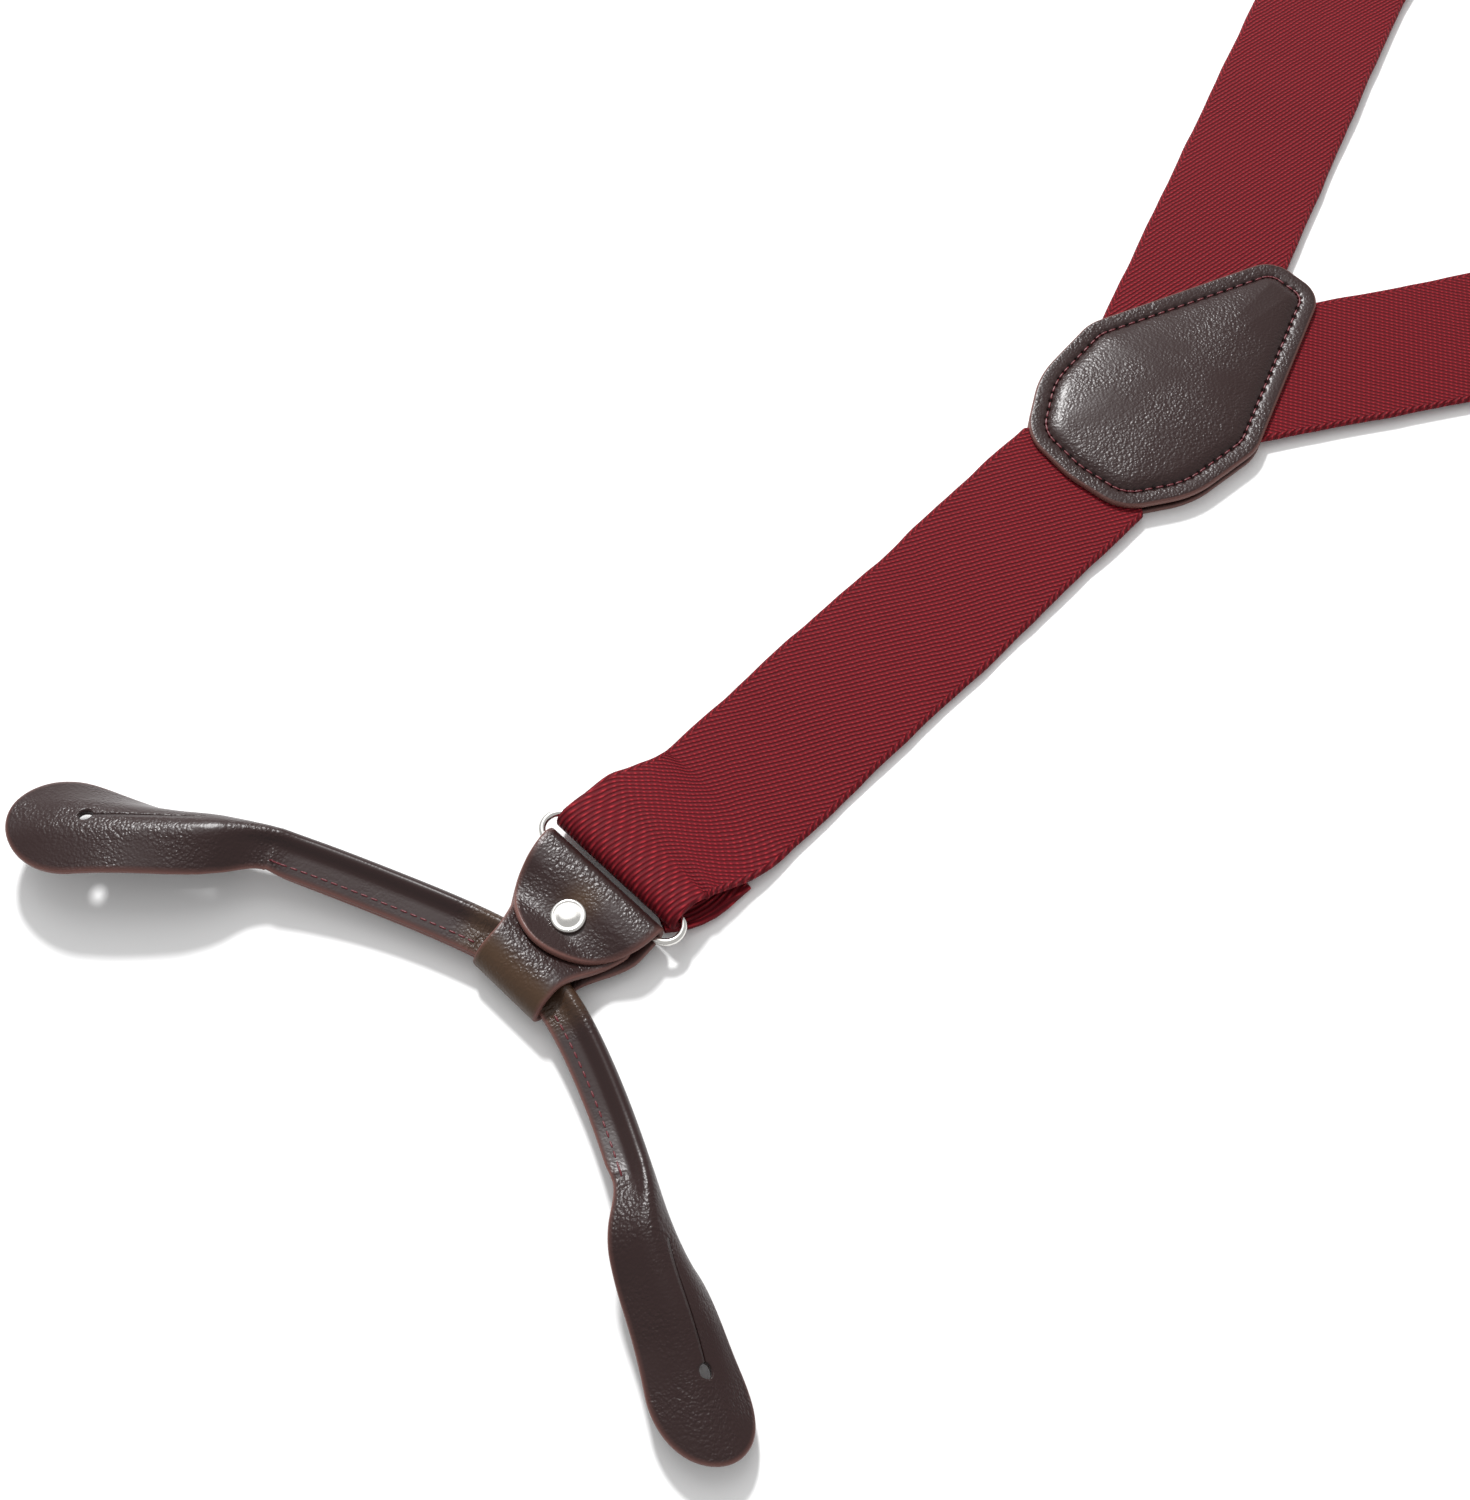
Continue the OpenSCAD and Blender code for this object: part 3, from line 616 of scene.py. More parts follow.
def fold_thread():
    """A row of short stitches in the dent behind the nose of the back strap."""
    x = BACK_RING[0] + np.arange(-15.6, 15.7, 1.3)
    row = [BACK_RING[1] + 11.0, 5.52]
    centres = np.column_stack([x, np.tile(row, (len(x), 1))])
    obj = stitches("back_fold_thread", centres, np.tile([1.0, 0, 0], (len(x), 1)),
                   np.tile([0, 0, 1.0], (len(x), 1)), (1.0, 0.35, 0.3), "back_strap")
    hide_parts("back_fold_stitching")


# ---------- crosspatch ----------

PATCH_Y0, PATCH_H, PATCH_HALF = -40.75, 81.5, 25.0     # lowest point, height, half width
PATCH_TURN = -1.5          # degrees
PATCH_MIDDLE = (0.0, -3.0)
TOP_Z = 2.8                # underside of the top leather
SEAM_INSET, SEAM_Z = 3.9, 1.13
PIT = (0.45, 0.38, 0.8)    # of a needle hole: half length, half width and depth
OUTLINE_POINTS = 800


def kite_outline():
    """The outline that wraps eight circles: for each direction u the farthest c + r u. Returned
    as points evenly spaced along it, their outward directions and its length."""
    circles = np.array([[s * x, y, r] for s in (-1, 1) for x, y, r in (
        (2.2, PATCH_Y0 + PATCH_H - 7.5, 7.5), (PATCH_HALF - 12, PATCH_Y0 + 34, 12),
        (7.5, PATCH_Y0 + 12.3, 11.5), (0, PATCH_Y0 + 24, 24))])
    a = np.linspace(0, 2 * math.pi, 1441)
    u = np.column_stack([np.cos(a), np.sin(a)])
    best = np.argmax(u @ circles[:, :2].T + circles[:, 2], axis=1)
    p = circles[best, :2] + circles[best, 2:3] * u
    s = arc_length(p)
    t = np.linspace(0, s[-1], OUTLINE_POINTS, endpoint=False)
    at = np.column_stack([np.interp(t, s, col) for col in (*p.T, *u.T)])
    return at[:, :2], unit(at[:, 2:]), s[-1]


def patch_piece(name, node, profile, lift, grain_shift, body_z, holes=0):
    """A leather plate from concentric rings. Profile rows are (inset, height, edge paint): each
    ring is the outline moved inwards by its inset. The last one then shrinks to the middle, and
    lift(share) domes it. Needle holes are bell-shaped pits along the seam."""
    outline, normal, length = kite_outline()
    rings, heights, edges = [], [], []
    for inset, z, edge in profile:
        rings.append(outline - inset * normal)
        heights.append(np.full(len(outline), z))
        edges.append(np.full(len(outline), edge))
    if holes:
        s = np.arange(len(outline)) * length / len(outline)
        gap = np.abs((s / (length / holes) + 0.5) % 1 - 0.5) * length / holes
        for k, (inset, _, _) in enumerate(profile):
            pit = np.exp(-(gap / PIT[0]) ** 2 - ((inset - SEAM_INSET) / PIT[1]) ** 2)
            heights[k] = heights[k] - PIT[2] * pit
    middle = np.array(PATCH_MIDDLE)
    inner, base = rings[-1], heights[-1]
    for k in np.linspace(1, 0.04, 22)[1:]:
        rings.append(middle + (inner - middle) * k)
        heights.append(base + lift(k))
        edges.append(np.zeros(len(outline)))
    n, m = len(rings), len(outline)
    xy = np.array(rings).reshape(-1, 2)
    z = np.array(heights).reshape(-1)
    z = z + body_z
    points = np.vstack([np.column_stack([xy, z]), [*middle, z[-1]], [*middle, z[:m].mean()]])
    faces = [grid_quads(n, m, wrap=True), fan(n * m, (n - 1) * m, m, -1), fan(n * m + 1, 0, m)]
    grain = points + np.asarray(grain_shift)
    edge_crinkle_sheen = np.zeros_like(points)
    edge_crinkle_sheen[:n * m, 0] = np.array(edges).reshape(-1)
    obj = solid(name, turned(points, [0, 0, 0], PATCH_TURN), faces,
                {"grain": grain, "edge_crinkle_sheen": edge_crinkle_sheen}, material("dark brown glazed leather"))
    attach(obj, "root")
    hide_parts(node)


def patch():
    """Kite of leather, flat round its border and padded up inside the seam, on a flat backing,
    with a seam of stitches that each lie between two needle holes."""
    sizes, _ = settings()
    pitch = sizes.stitch_pitch / MM
    outline, normal, length = kite_outline()
    count = int(round(length / pitch))
    profile = [(0.25, 0.0, 1.0), (0.06, 0.12, 1.0), (0.0, 0.4, 1.0), (0.0, 0.85, 1.0),
               (0.1, 1.15, 1.0), (0.3, 1.33, 0.6), (0.6, 1.4, 0.0), (1.2, 1.42, 0.0),
               (2.0, 1.4, 0.0), (2.8, 1.33, 0.0), (3.2, 1.25, 0.0), (3.5, 1.15, 0.0),
               (3.7, 1.07, 0.0), (3.9, 1.03, 0.0), (4.1, 1.07, 0.0), (4.3, 1.2, 0.0),
               (4.6, 1.38, 0.0), (5.0, 1.58, 0.0), (5.5, 1.8, 0.0), (6.1, 2.0, 0.0),
               (6.8, 2.18, 0.0)]
    patch_piece("patch_leather", "patch_top", profile, lambda k: 1.05 * (1 - k ** 2.6),
                (0, 0, 0), TOP_Z, holes=count)
    flat = [(0.3, 0.0, 1.0), (0.05, 0.25, 1.0), (0.0, 0.6, 1.0), (0.05, 0.95, 1.0),
            (0.3, 1.2, 0.5), (0.8, 1.2, 0.0), (3.0, 1.2, 0.0), (6.8, 1.2, 0.0)]
    patch_piece("patch_lining", "patch_backing", flat, lambda k: 0 * k, (40, 20, 0), 0.0)
    s = (np.arange(count) + 0.5) * length / count
    at = np.arange(len(outline)) * length / len(outline)
    seam = outline - SEAM_INSET * normal
    centre = np.column_stack([np.interp(s, at, c, period=length) for c in seam.T])
    out = unit(np.column_stack([np.interp(s, at, c, period=length) for c in normal.T]))
    along = np.column_stack([-out[:, 1], out[:, 0], np.zeros(count)])
    centres = np.column_stack([centre, np.full(count, TOP_Z + SEAM_Z)])
    c, d = turned(centres, [0, 0, 0], PATCH_TURN), turned(along, [0, 0, 0], PATCH_TURN)
    thread = stitches("patch_thread", c, d, np.tile([0, 0, 1.0], (count, 1)),
                      (1.75, 0.45, 0.36), "root")
    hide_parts("patch_stitching")


# ---------- leather plates folded along an axis ----------

EDGE_PROFILE = ((0.5, 0.5), (0.24, 0.43), (0.05, 0.24), (0.0, 0.0),
                (0.05, -0.24), (0.24, -0.43), (0.5, -0.5))


def leaf(name, axis_s, edge_s, edge_b, opening, thickness, place, edge_crinkle_sheen, columns=16):
    """A flat leaf cut to an outline and then bent. Row i runs from (axis_s, opening) on its
    middle line to (edge_s, edge_b) on its outline, over the top, round the cut edge on
    EDGE_PROFILE (inset, height over thickness) and back below. place(s, x, h) bends it, and
    finish(s, x, paint) gives its look. The halves are welded where the opening is zero."""
    tangent = unit(np.column_stack([np.gradient(edge_s), np.gradient(edge_b)]))
    out = np.column_stack([-tangent[:, 1], tangent[:, 0]])
    out[-1] = (1.0, 0.0)
    q = np.linspace(0, 1, columns)[:-1]
    edge_inset, edge_level = np.transpose(EDGE_PROFILE)
    flat = np.full(columns - 1, 0.5)
    inset = np.concatenate([flat, edge_inset, flat])
    level = np.concatenate([flat, edge_level, -flat])
    share = np.concatenate([q, np.ones(len(EDGE_PROFILE)), q[::-1]])
    rim_s = edge_s[:, None] - inset * out[:, :1]
    rim_b = np.maximum(edge_b[:, None] - inset * out[:, 1:], opening[:, None])
    s = axis_s[:, None] + (rim_s - axis_s[:, None]) * share
    b = opening[:, None] + (rim_b - opening[:, None]) * share
    n, m = s.shape
    # Paint covers the cut edge and thins out over its rounded corners.
    paint = np.where(share < 1, 0.0, np.where(np.abs(level) < 0.5, 1.0, 0.35))
    paint = np.broadcast_to(paint, s.shape).ravel()
    index = np.arange(n * m).reshape(n, m)
    points, faces, grain, looks = [], [], [], []
    for k, sign in enumerate((1, -1)):
        flat_s, x, h = s.ravel(), (sign * b).ravel(), (level * thickness(s)).ravel()
        points.append(place(flat_s, x, h))
        grain.append(np.column_stack([flat_s, x, h]))
        looks.append(edge_crinkle_sheen(flat_s, x, paint))
        half = [grid_quads(n, m)]
        j = np.arange(m // 2)
        half.append(np.stack([index[0, j], index[0, j + 1], index[0, m - 2 - j],
                              index[0, m - 1 - j]], axis=1))
        wall = (opening[:-1] > 0) | (opening[1:] > 0)
        i = np.nonzero(wall)[0]
        half.append(np.stack([index[i, m - 1], index[i + 1, m - 1], index[i + 1, 0],
                              index[i, 0]], axis=1))
        half = [f + k * n * m for f in half if len(f)]
        faces += half if sign > 0 else [f[:, ::-1] for f in half]
    return solid(name, np.vstack(points), faces,
                 {"grain": np.vstack(grain), "edge_crinkle_sheen": np.vstack(looks)},
                 material("dark brown glazed leather"), weld=0.002)


# ---------- hanger ----------

# Middle line of the hanger as (y, z) from the ring's middle: from the hem of the return layer
# round the loop to the ring's bar, and from the bar to the tip of the flap.
HANGER_PATH = ([(-7.5, 0.0), (-10, 0.0), (-13, 0.0), (-16, 0.15), (-18.6, 0.95), (-21.1, 2.3),
                (-23.8, 3.3), (-26.5, 3.55), (-29.1, 2.95), (-30.9, 1.5), (-31.5, 0.0),
                (-30.9, -1.5), (-29.1, -2.9), (-26.5, -3.45), (-23.8, -3.2), (-21.1, -2.45),
                (-18.6, -1.85), (-15, -1.6), (-11, -1.6), (-7, -1.7)],
               [(-5.8, 2.2), (-8.4, 2.1), (-11, 1.65), (-13.5, 1.4), (-16.2, 1.6), (-18.4, 2.5),
                (-20.2, 3.6), (-21.6, 4.4)])
BAR_FOLD = 1.95            # radius of the hanger's middle line round the bar
FLAP_HALF, RETURN_HALF, LOOP_HALF = 16.25, 14.6, 9.0
FLAP_SKEW = 1.3
RIVET_ALONG = 10.4         # from the top of the bar, along the flap
RIVET_Y, RIVET_Z = -12.7, 2.0


def hanger(end, lean):
    """One strip of leather: the return layer, round the ear strip, back under, over the ring's
    bar and down as a flap. Its half width is that of the return layer or flap, narrowed to the
    loop's by a smooth step along Y, then on the flap FLAP_HALF (1 - f^2)^0.53 for the share f
    of its length; the corners at the hem are quarter circles."""
    sizes, _ = settings()
    t = sizes.hanger_leather / MM
    first, flap = HANGER_PATH
    yz = spline(first + round_bar(-BAR_HALF, 0, BAR_FOLD, -90, 90) + flap, 0.3)
    s = arc_length(yz)
    tangent = unit(np.gradient(yz, axis=0))
    low = np.argmin(yz[:, 0])
    over = len(yz) - 1 - np.argmax(yz[::-1, 0])
    wide = np.where(np.arange(len(s)) < low, RETURN_HALF, FLAP_HALF)
    half = LOOP_HALF + (wide - LOOP_HALF) * smooth((yz[:, 0] + 26) / 18)
    corner = 3.0
    half = half - np.where(s < corner, corner - np.sqrt(np.maximum(
        corner ** 2 - (corner - s) ** 2, 0)), 0)
    flap_at = s[over] + 1.5
    flap_long = s[-1] - flap_at
    f = np.clip((s - flap_at) / flap_long, 0, 1)
    half = np.where(s > flap_at, FLAP_HALF * (1 - np.minimum(f, 0.999) ** 2) ** 0.53, half)
    straight = s <= s[-1] - 9.0
    rows = s[straight]
    # Beyond the last straight row the rows fan out round the tip of the flap.
    fan_rows = 30
    angle = np.linspace(math.asin((rows[-1] - flap_at) / flap_long), math.pi / 2, fan_rows)[1:]
    fan_s = flap_at + flap_long * np.sin(angle)
    fan_b = FLAP_HALF * np.abs(np.cos(angle)) ** 1.06
    share = np.linspace(0, 1, fan_rows)[1:]
    axis = np.concatenate([rows, rows[-1] + (s[-1] - 3.0 - rows[-1]) * share ** 1.2])
    edge_s, edge_b = np.concatenate([rows, fan_s]), np.concatenate([half[straight], fan_b])
    rivet = s[over] + RIVET_ALONG

    def place(a, x, h):
        """Bends the flat strip: the middle line at a, x across it and h along its normal."""
        y = np.interp(a, s, yz[:, 0])
        z = np.interp(a, s, yz[:, 1])
        ty, tz = np.interp(a, s, tangent[:, 0]), np.interp(a, s, tangent[:, 1])
        beyond = np.maximum(a - s[-1], 0)
        y, z = y + ty * beyond, z + tz * beyond
        # The flap is cut a little askew, sags towards its sides and dips round the rivet.
        x = x - FLAP_SKEW * smooth((a - flap_at - 4) / 14)
        on_flap = smooth((a - flap_at) / 4)
        far = np.hypot(x, a - rivet)
        z = z - on_flap * (0.35 * np.exp(-(far / 4.8) ** 2)
                           + 0.9 * smooth((np.abs(x) - 4) / 12) * smooth((a - flap_at - 6) / 10))
        return in_end(end, np.column_stack([x - lean * (y + BAR_HALF), y + h * tz, z - h * ty]))

    def edge_crinkle_sheen(a, x, edge):
        """Painted sheen round the loop and in front of the rivet, with no crinkle."""
        round_loop = smooth((a - s[low] + 9) / 4) * smooth((s[low] + 5 - a) / 4)
        near = np.exp(-((a - rivet + 2.5) / 3.5) ** 2 - (x / 3.5) ** 2) * smooth((a - flap_at) / 3)
        # The third column is painted sheen round the loop and in front of the rivet.
        return np.column_stack([edge, np.zeros_like(a),
                                np.clip(0.75 * round_loop + 0.7 * near, 0, 1)])

    obj = leaf(end + "_hanger_leather", axis, edge_s, edge_b, np.zeros(len(axis)),
               lambda a: np.full_like(a, t), place, edge_crinkle_sheen, columns=14)
    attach(obj, end + "_hanger")
    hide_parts(end + "_hanger")


# ---------- ring, rivet ----------

def ring(end):
    """A wire bent into a slot shape, two half circles joined by straight bars: a circle of the
    wire's radius carried round it, centre + out r cos b + up r sin b."""
    sizes, _ = settings()
    r = sizes.wire_radius / MM
    straight_half, columns = 15.5, 20
    a = np.linspace(-90, 90, 25) * DEG
    right = np.column_stack([straight_half + BAR_HALF * np.cos(a), BAR_HALF * np.sin(a)])
    loop = np.vstack([right, -right, right[:1]])
    centre = resample(loop, 0.6)[:-1]
    tangent = unit(np.roll(centre, -1, 0) - np.roll(centre, 1, 0))
    out = np.column_stack([tangent[:, 1], -tangent[:, 0]])
    b = np.linspace(0, 2 * math.pi, columns, endpoint=False)
    p = np.zeros((len(centre), columns, 3))
    p[..., :2] = centre[:, None] + r * np.cos(b)[None, :, None] * out[:, None]
    p[..., 2] = r * np.sin(b)
    faces = grid_quads(len(centre), columns, wrap=True, loop=True)
    obj = solid(end + "_wire_ring", in_end(end, p.reshape(-1, 3)), [faces], None,
                material("polished nickel"))
    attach(obj, end + "_ring")
    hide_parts(end + "_ring")


def rivet(end, lean):
    """Rivet cap, domed and dished: a profile of (radius, height) turned about its middle."""
    profile = np.array([(0.0, 1.2), (0.9, 1.15), (1.9, 1.0), (2.5, 0.84), (2.8, 0.8),
                        (3.05, 0.9), (3.35, 0.9), (3.58, 0.7), (3.7, 0.4), (3.7, 0.1),
                        (3.55, -0.15)])
    columns = 56
    a = np.linspace(0, 2 * math.pi, columns, endpoint=False)
    r, z = profile[1:, :1], profile[1:, 1:]
    n = len(r)
    p = np.stack([r * np.cos(a), r * np.sin(a), np.broadcast_to(z, (n, columns))], axis=-1)
    p = np.vstack([p.reshape(-1, 3), [0, 0, profile[0, 1]], [0, 0, profile[-1, 1]]])
    faces = [grid_quads(n, columns, wrap=True), fan(n * columns, 0, columns),
             fan(n * columns + 1, (n - 1) * columns, columns, -1)]
    p = p + [-lean * (RIVET_Y + BAR_HALF), RIVET_Y, RIVET_Z]
    obj = solid(end + "_rivet_head", in_end(end, p), faces, None, material("polished nickel"))
    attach(obj, end + "_hanger")
    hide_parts(end + "_rivet_cap")


def metal_nodes():
    """The frame's own rivet posts and adjusters: they keep their shape and take the nickel, and
    the adjusters a small bevel."""
    for name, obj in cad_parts.items():
        if obj.hide_render or not ("rivet" in name or "adjuster" in name):
            continue
        obj.data.materials.clear()
        obj.data.materials.append(material("polished nickel"))
        if "adjuster" in name:
            bevel = obj.modifiers.new("bevel", "BEVEL")
            bevel.width, bevel.segments = 0.25 * MM, 2
            bevel.limit_method, bevel.angle_limit = "ANGLE", 40 * DEG
            bevel.harden_normals = True


# ---------- ears ----------

EAR_LONG = 55.0            # from the end of the seam to the tip of the ear
EAR_CAP = 15.0             # length of the round end
HOLE_FROM_TIP, HOLE_RADIUS = 16.5, 1.5
SLIT, SLIT_HALF = 24.0, 0.16
FOLD_IN = 1.7              # from the middle line to the fold on the arm
CORD_RADIUS = 1.08
# arm: length from the middle of the loop to the end of the seam. The knots are (distance,
# value). plan, from the middle of the loop: degrees the line falls away from the ring's bar.
# rise, near and far, from the end of the seam: height in mm, and degrees each half leans above
# level, seen along the line. start: where the line crosses the loop. half, wide: half width of
# the cut strip in the arm and in the ear. drawn: where, over what length and by what share the
# far half is drawn in.
EARS = {
    "back_left": dict(
        side=-1, start=(2.0, -22.4), arm=59.2, half=10.6, wide=12.9, drawn=(20, 15, 0.34),
        plan=((0, 0), (5, 5), (11, 16), (25, 21), (40, 23.5), (54, 26.5), (61, 30), (69, 35.5),
              (79, 41.5), (96, 44), (105, 46), (114, 48)),
        rise=((-59, 0), (-28, 0.4), (-8, 2.2), (0, 3.7), (8, 5.3), (16, 6.5), (38, 7.0),
              (55, 5.6)),
        near=((-59, 0), (-6, 0), (0, -6), (6, -17), (12, -15), (20, -7), (30, -2), (38, -1),
              (55, -3)),
        far=((-59, 0), (-6, 0), (0, -10), (8, -46), (16, -84), (25, -110), (38, -138),
             (46, -150), (55, -160))),
    "back_right": dict(
        side=1, start=(2.0, -23.4), arm=49.3, half=9.2, wide=11.9, drawn=(30, 22, 0.5),
        plan=((0, 0), (5, 6), (11, 12), (20, 19), (34, 24), (46, 27), (56, 28), (64, 25),
              (76, 26), (90, 33), (104, 37)),
        rise=((-49, 0), (-18, 0.2), (-6, 1.3), (4, 3.3), (13, 4.4), (25, 3.8), (38, 2.0),
              (55, 1.0)),
        near=((-49, 0), (-6, 0), (0, -4), (6, -8), (12, -14), (20, -20), (30, -16), (38, -9),
              (55, -4)),
        far=((-49, 0), (-6, 0), (0, -10), (8, -46), (16, -82), (22, -104), (30, -124),
             (38, -136), (46, -146), (55, -162))),
}
# The front ears are shaped like the back's right one on straighter arms.
EARS.update({name: dict(EARS["back_right"], side=side, start=(0.0, -23.4), arm=55.0,
                        plan=((0, 0), (5.5, 12), (11, 24), (52, 25), (62, 30), (110, 31)))
             for name, side in (("left_inner", -1), ("left_outer", 1), ("right_outer", -1),
                                ("right_inner", 1))})


def knots(points, s):
    """Value at s of the smooth curve through the (s, value) knots."""
    curve = spline(points, 0.5)
    return np.interp(s, curve[:, 0], curve[:, 1])


def ear_line(spec, step=0.25):
    """Distances, points and plan angles of the arm's middle line: position is the sum of
    (side cos a, -sin a) ds for the plan angle a(s), height is smooth through its knots."""
    s = np.arange(0, spec["arm"] + EAR_LONG + 6, step)
    a = knots(spec["plan"], s) * DEG
    xy = np.cumsum(np.column_stack([spec["side"] * np.cos(a), -np.sin(a)]) * step, axis=0)
    xy = xy - xy[0] + np.array(spec["start"])
    return s, np.column_stack([xy, knots(spec["rise"], s - spec["arm"])]), a


def fold_section(s, x, spec, thickness):
    """Where the folded strip's middle surface lies, seen along the cord. With lean angles n and
    f of the near and far half, the axis of symmetry leans (n + f) / 2 and each half ends at
    (n - f) / 2 from it. The strip leaves its fold square to that axis and turns through a soft
    crease to its half's angle. Returns distance away from the ring, height, and the outward
    direction."""
    t = s - spec["arm"]
    near, far = knots(spec["near"], t) * DEG, knots(spec["far"], t) * DEG
    lean, spread = (near + far) / 2, (near - far) / 2
    r = smooth((t + 3.0) / 15.0)
    arm_crease = 3.4
    crease = arm_crease + 2.2 * r
    u = np.linspace(0, 1, 48)[:, None]
    reach = np.abs(x)
    psi = spread + (math.pi / 2 - spread) * (1 - smooth(u * reach / crease))
    along = average(np.cos(psi)) * reach
    up = average(np.sin(psi)) * reach
    # On the arm the two layers close up again past the cord, half a thickness from the middle.
    half = spec["half"]
    total = average(np.sin(math.pi / 2 * (1 - smooth(u * half / arm_crease)))) * half
    up = up + (1 - r) * (thickness / 2 - total) * smooth((reach - 2.3) / 2.9)
    last = psi[-1]
    ny, nz = -np.sin(last), np.cos(last)
    sign = np.sign(x + 1e-9)
    c, d = np.cos(lean), np.sin(lean)
    y_out = along * c - sign * up * d
    z_out = along * d + sign * up * c
    return y_out, z_out, ny * c - sign * nz * d, ny * d + sign * nz * c


def ear_place(end, spec, thickness):
    """A function that bends a flat strip (s along, x across, h above its middle) into the
    rolled arm and open ear."""
    s, line, angle = ear_line(spec)
    side = spec["side"]

    def place(a, x, h):
        """The middle line at a, plus y away from the ring, square to it, and z upwards."""
        # The far half is drawn in where it hangs steepest.
        middle, length, share = spec["drawn"]
        pull = share * np.exp(-((a - spec["arm"] - middle) / length) ** 2)
        x = np.where(x < 0, x * (1 - pull), x)
        y, z, ny, nz = fold_section(a, x, spec, thickness(a))
        let_go = smooth((a - spec["arm"]) / 22)
        y, z = y + h * ny - FOLD_IN * (1 - let_go), z + h * nz
        q = np.stack([np.interp(a, s, line[:, k]) for k in range(3)], axis=1)
        t = np.interp(a, s, angle)
        flange = np.column_stack([-side * np.sin(t), -np.cos(t), np.zeros_like(t)])
        return in_end(end, q + flange * y[:, None] + np.array([0, 0, 1.0]) * z[:, None])

    return place, s, line


def ear(name, end):
    """Half of an ear strip: the rolled and stitched arm, opening into the flat ear. The strip is
    cut flat, half width b(s) with a smooth step at the neck and a round end, slit down to a
    round button hole, and bent by ear_place. Returns its seam (places, directions along it and
    out of the leather) and the middle line of its cord."""
    sizes, _ = settings()
    spec = EARS[name]
    thin = sizes.arm_leather / MM
    arm, arm_half, ear_half = spec["arm"], spec["half"], spec["wide"]
    tip = arm + EAR_LONG
    hole = tip - HOLE_FROM_TIP

    def thickness(a):
        """The leather of the arm is pared down; the ear keeps 0.3 mm more."""
        return thin + 0.3 * smooth((a - arm) / 20)

    def width(a):
        """Half width: a smooth step from arm to ear, less a small waist at the neck."""
        return arm_half + (ear_half - arm_half) * smooth((a - arm + 3) / 17) \
            - 0.6 * smooth((a - arm + 4) / 5) * smooth((arm + 9 - a) / 8)

    place, s, line = ear_place(end, spec, thickness)
    # Rows crowd together round the button hole; those past cap fan out round the tip.
    rows = np.concatenate([np.arange(0, hole - 2.2, 0.55), np.arange(hole - 2.2, hole - 1.55, 0.3),
                           hole - HOLE_RADIUS * np.cos(np.linspace(0, math.pi, 17)),
                           hole + np.array([1.9, 2.6, 3.4, 4.3])])
    cap, cap_rows = tip - EAR_CAP, 15
    straight, rest = rows[rows <= cap + 1e-9], rows[rows > cap + 1e-9]
    phi = np.linspace(math.pi / 2, 0, len(rest) + cap_rows)[1:]
    axis = np.concatenate([straight, rest, np.linspace(rest[-1], tip - 6.5, cap_rows)[1:]])
    edge_s = np.concatenate([straight, cap + EAR_CAP * np.cos(phi)])
    edge_b = np.concatenate([width(straight), ear_half * np.sin(phi)])
    opening = np.sqrt(np.maximum(HOLE_RADIUS ** 2 - (axis - hole) ** 2, 0))
    opening[opening < 0.05] = 0.0
    slit = (axis < hole) & (axis > hole - SLIT)
    opening = np.where(slit, np.maximum(opening, SLIT_HALF), opening)

    def edge_crinkle_sheen(a, x, edge):
        """Wrinkled and with painted sheen where the loop holds it, wrinkled at the neck, satin on
        the arm.
        """
        squeezed = smooth((17 - a) / 4) + 0.5 * smooth((a - arm) / 3) * smooth(
            (arm + 9 - a) / 5) * smooth((np.abs(x) - 2) / 3)
        satin = smooth((arm - a + 2) / 8) * smooth((a - 16) / 6)
        # The third column is painted sheen on the arm where it leaves the loop.
        return np.column_stack([edge, 0.6 * np.clip(squeezed, 0, 1) - 0.8 * satin,
                                0.5 * smooth((19 - a) / 6)])

    obj = leaf(end + "_" + name.split("_")[1] + "_ear_leather", axis, edge_s, edge_b, opening,
               thickness, place, edge_crinkle_sheen)
    body = name + "_ear"
    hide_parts(end + "_ear_strip", body)
    neck = in_end(end, np.stack([np.interp([arm - 6, arm + 8], s, line[:, k])
                                 for k in range(3)], axis=1)) * MM
    tuple(neck[0])
    tuple(neck[1])
    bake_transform(obj)
    # The seam ends with three stitches sewn over each other.
    at = np.concatenate([np.arange(13.5, arm - 3.4, sizes.stitch_pitch / MM * 0.85),
                         arm - 2.6 + 0.9 * np.arange(3)])
    x, face = np.full(len(at), arm_half - 2.3), np.full(len(at), thin / 2 + 0.02)
    middle = place(at, x, face)
    seam = (middle, place(at + 0.5, x, face) - middle, place(at, x, face + 0.48) - middle)
    return seam, in_end(end, line[s <= arm - 6.0])


def ear_cord(end, lines):
    """The cotton cord inside both arms: a circle carried along the two middle lines,
    path + side r cos b + up r sin b."""
    path = resample(np.vstack([lines[0][::-1], lines[1][1:]]), 0.8)
    tangent = unit(np.gradient(path, axis=0))
    side = unit(np.cross(tangent, [0.0, 0.0, 1.0]))
    up = np.cross(side, tangent)
    b = np.linspace(0, 2 * math.pi, 14, endpoint=False)[None, :, None]
    rings = (path[:, None] + CORD_RADIUS * np.cos(b) * side[:, None]
             + CORD_RADIUS * np.sin(b) * up[:, None])
    obj = loft(end + "_cotton_cord", rings, {}, material("cotton cord"))
    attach(obj, end + "_ears")
    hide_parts(end + "_ear_core")


def ears(end, names):
    """Both halves of an ear strip, and the seam threads of both in one piece."""
    found = [ear(name, end) for name in names]
    centres, along, up = (np.vstack(parts) for parts in zip(*[seam for seam, _ in found]))
    ear_cord(end, [cord for _, cord in found])
    thread = stitches(end + "_seam_thread", centres, along, up, (1.5, 0.42, 0.34), end + "_ears")
    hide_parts(end + "_seam_stitching")


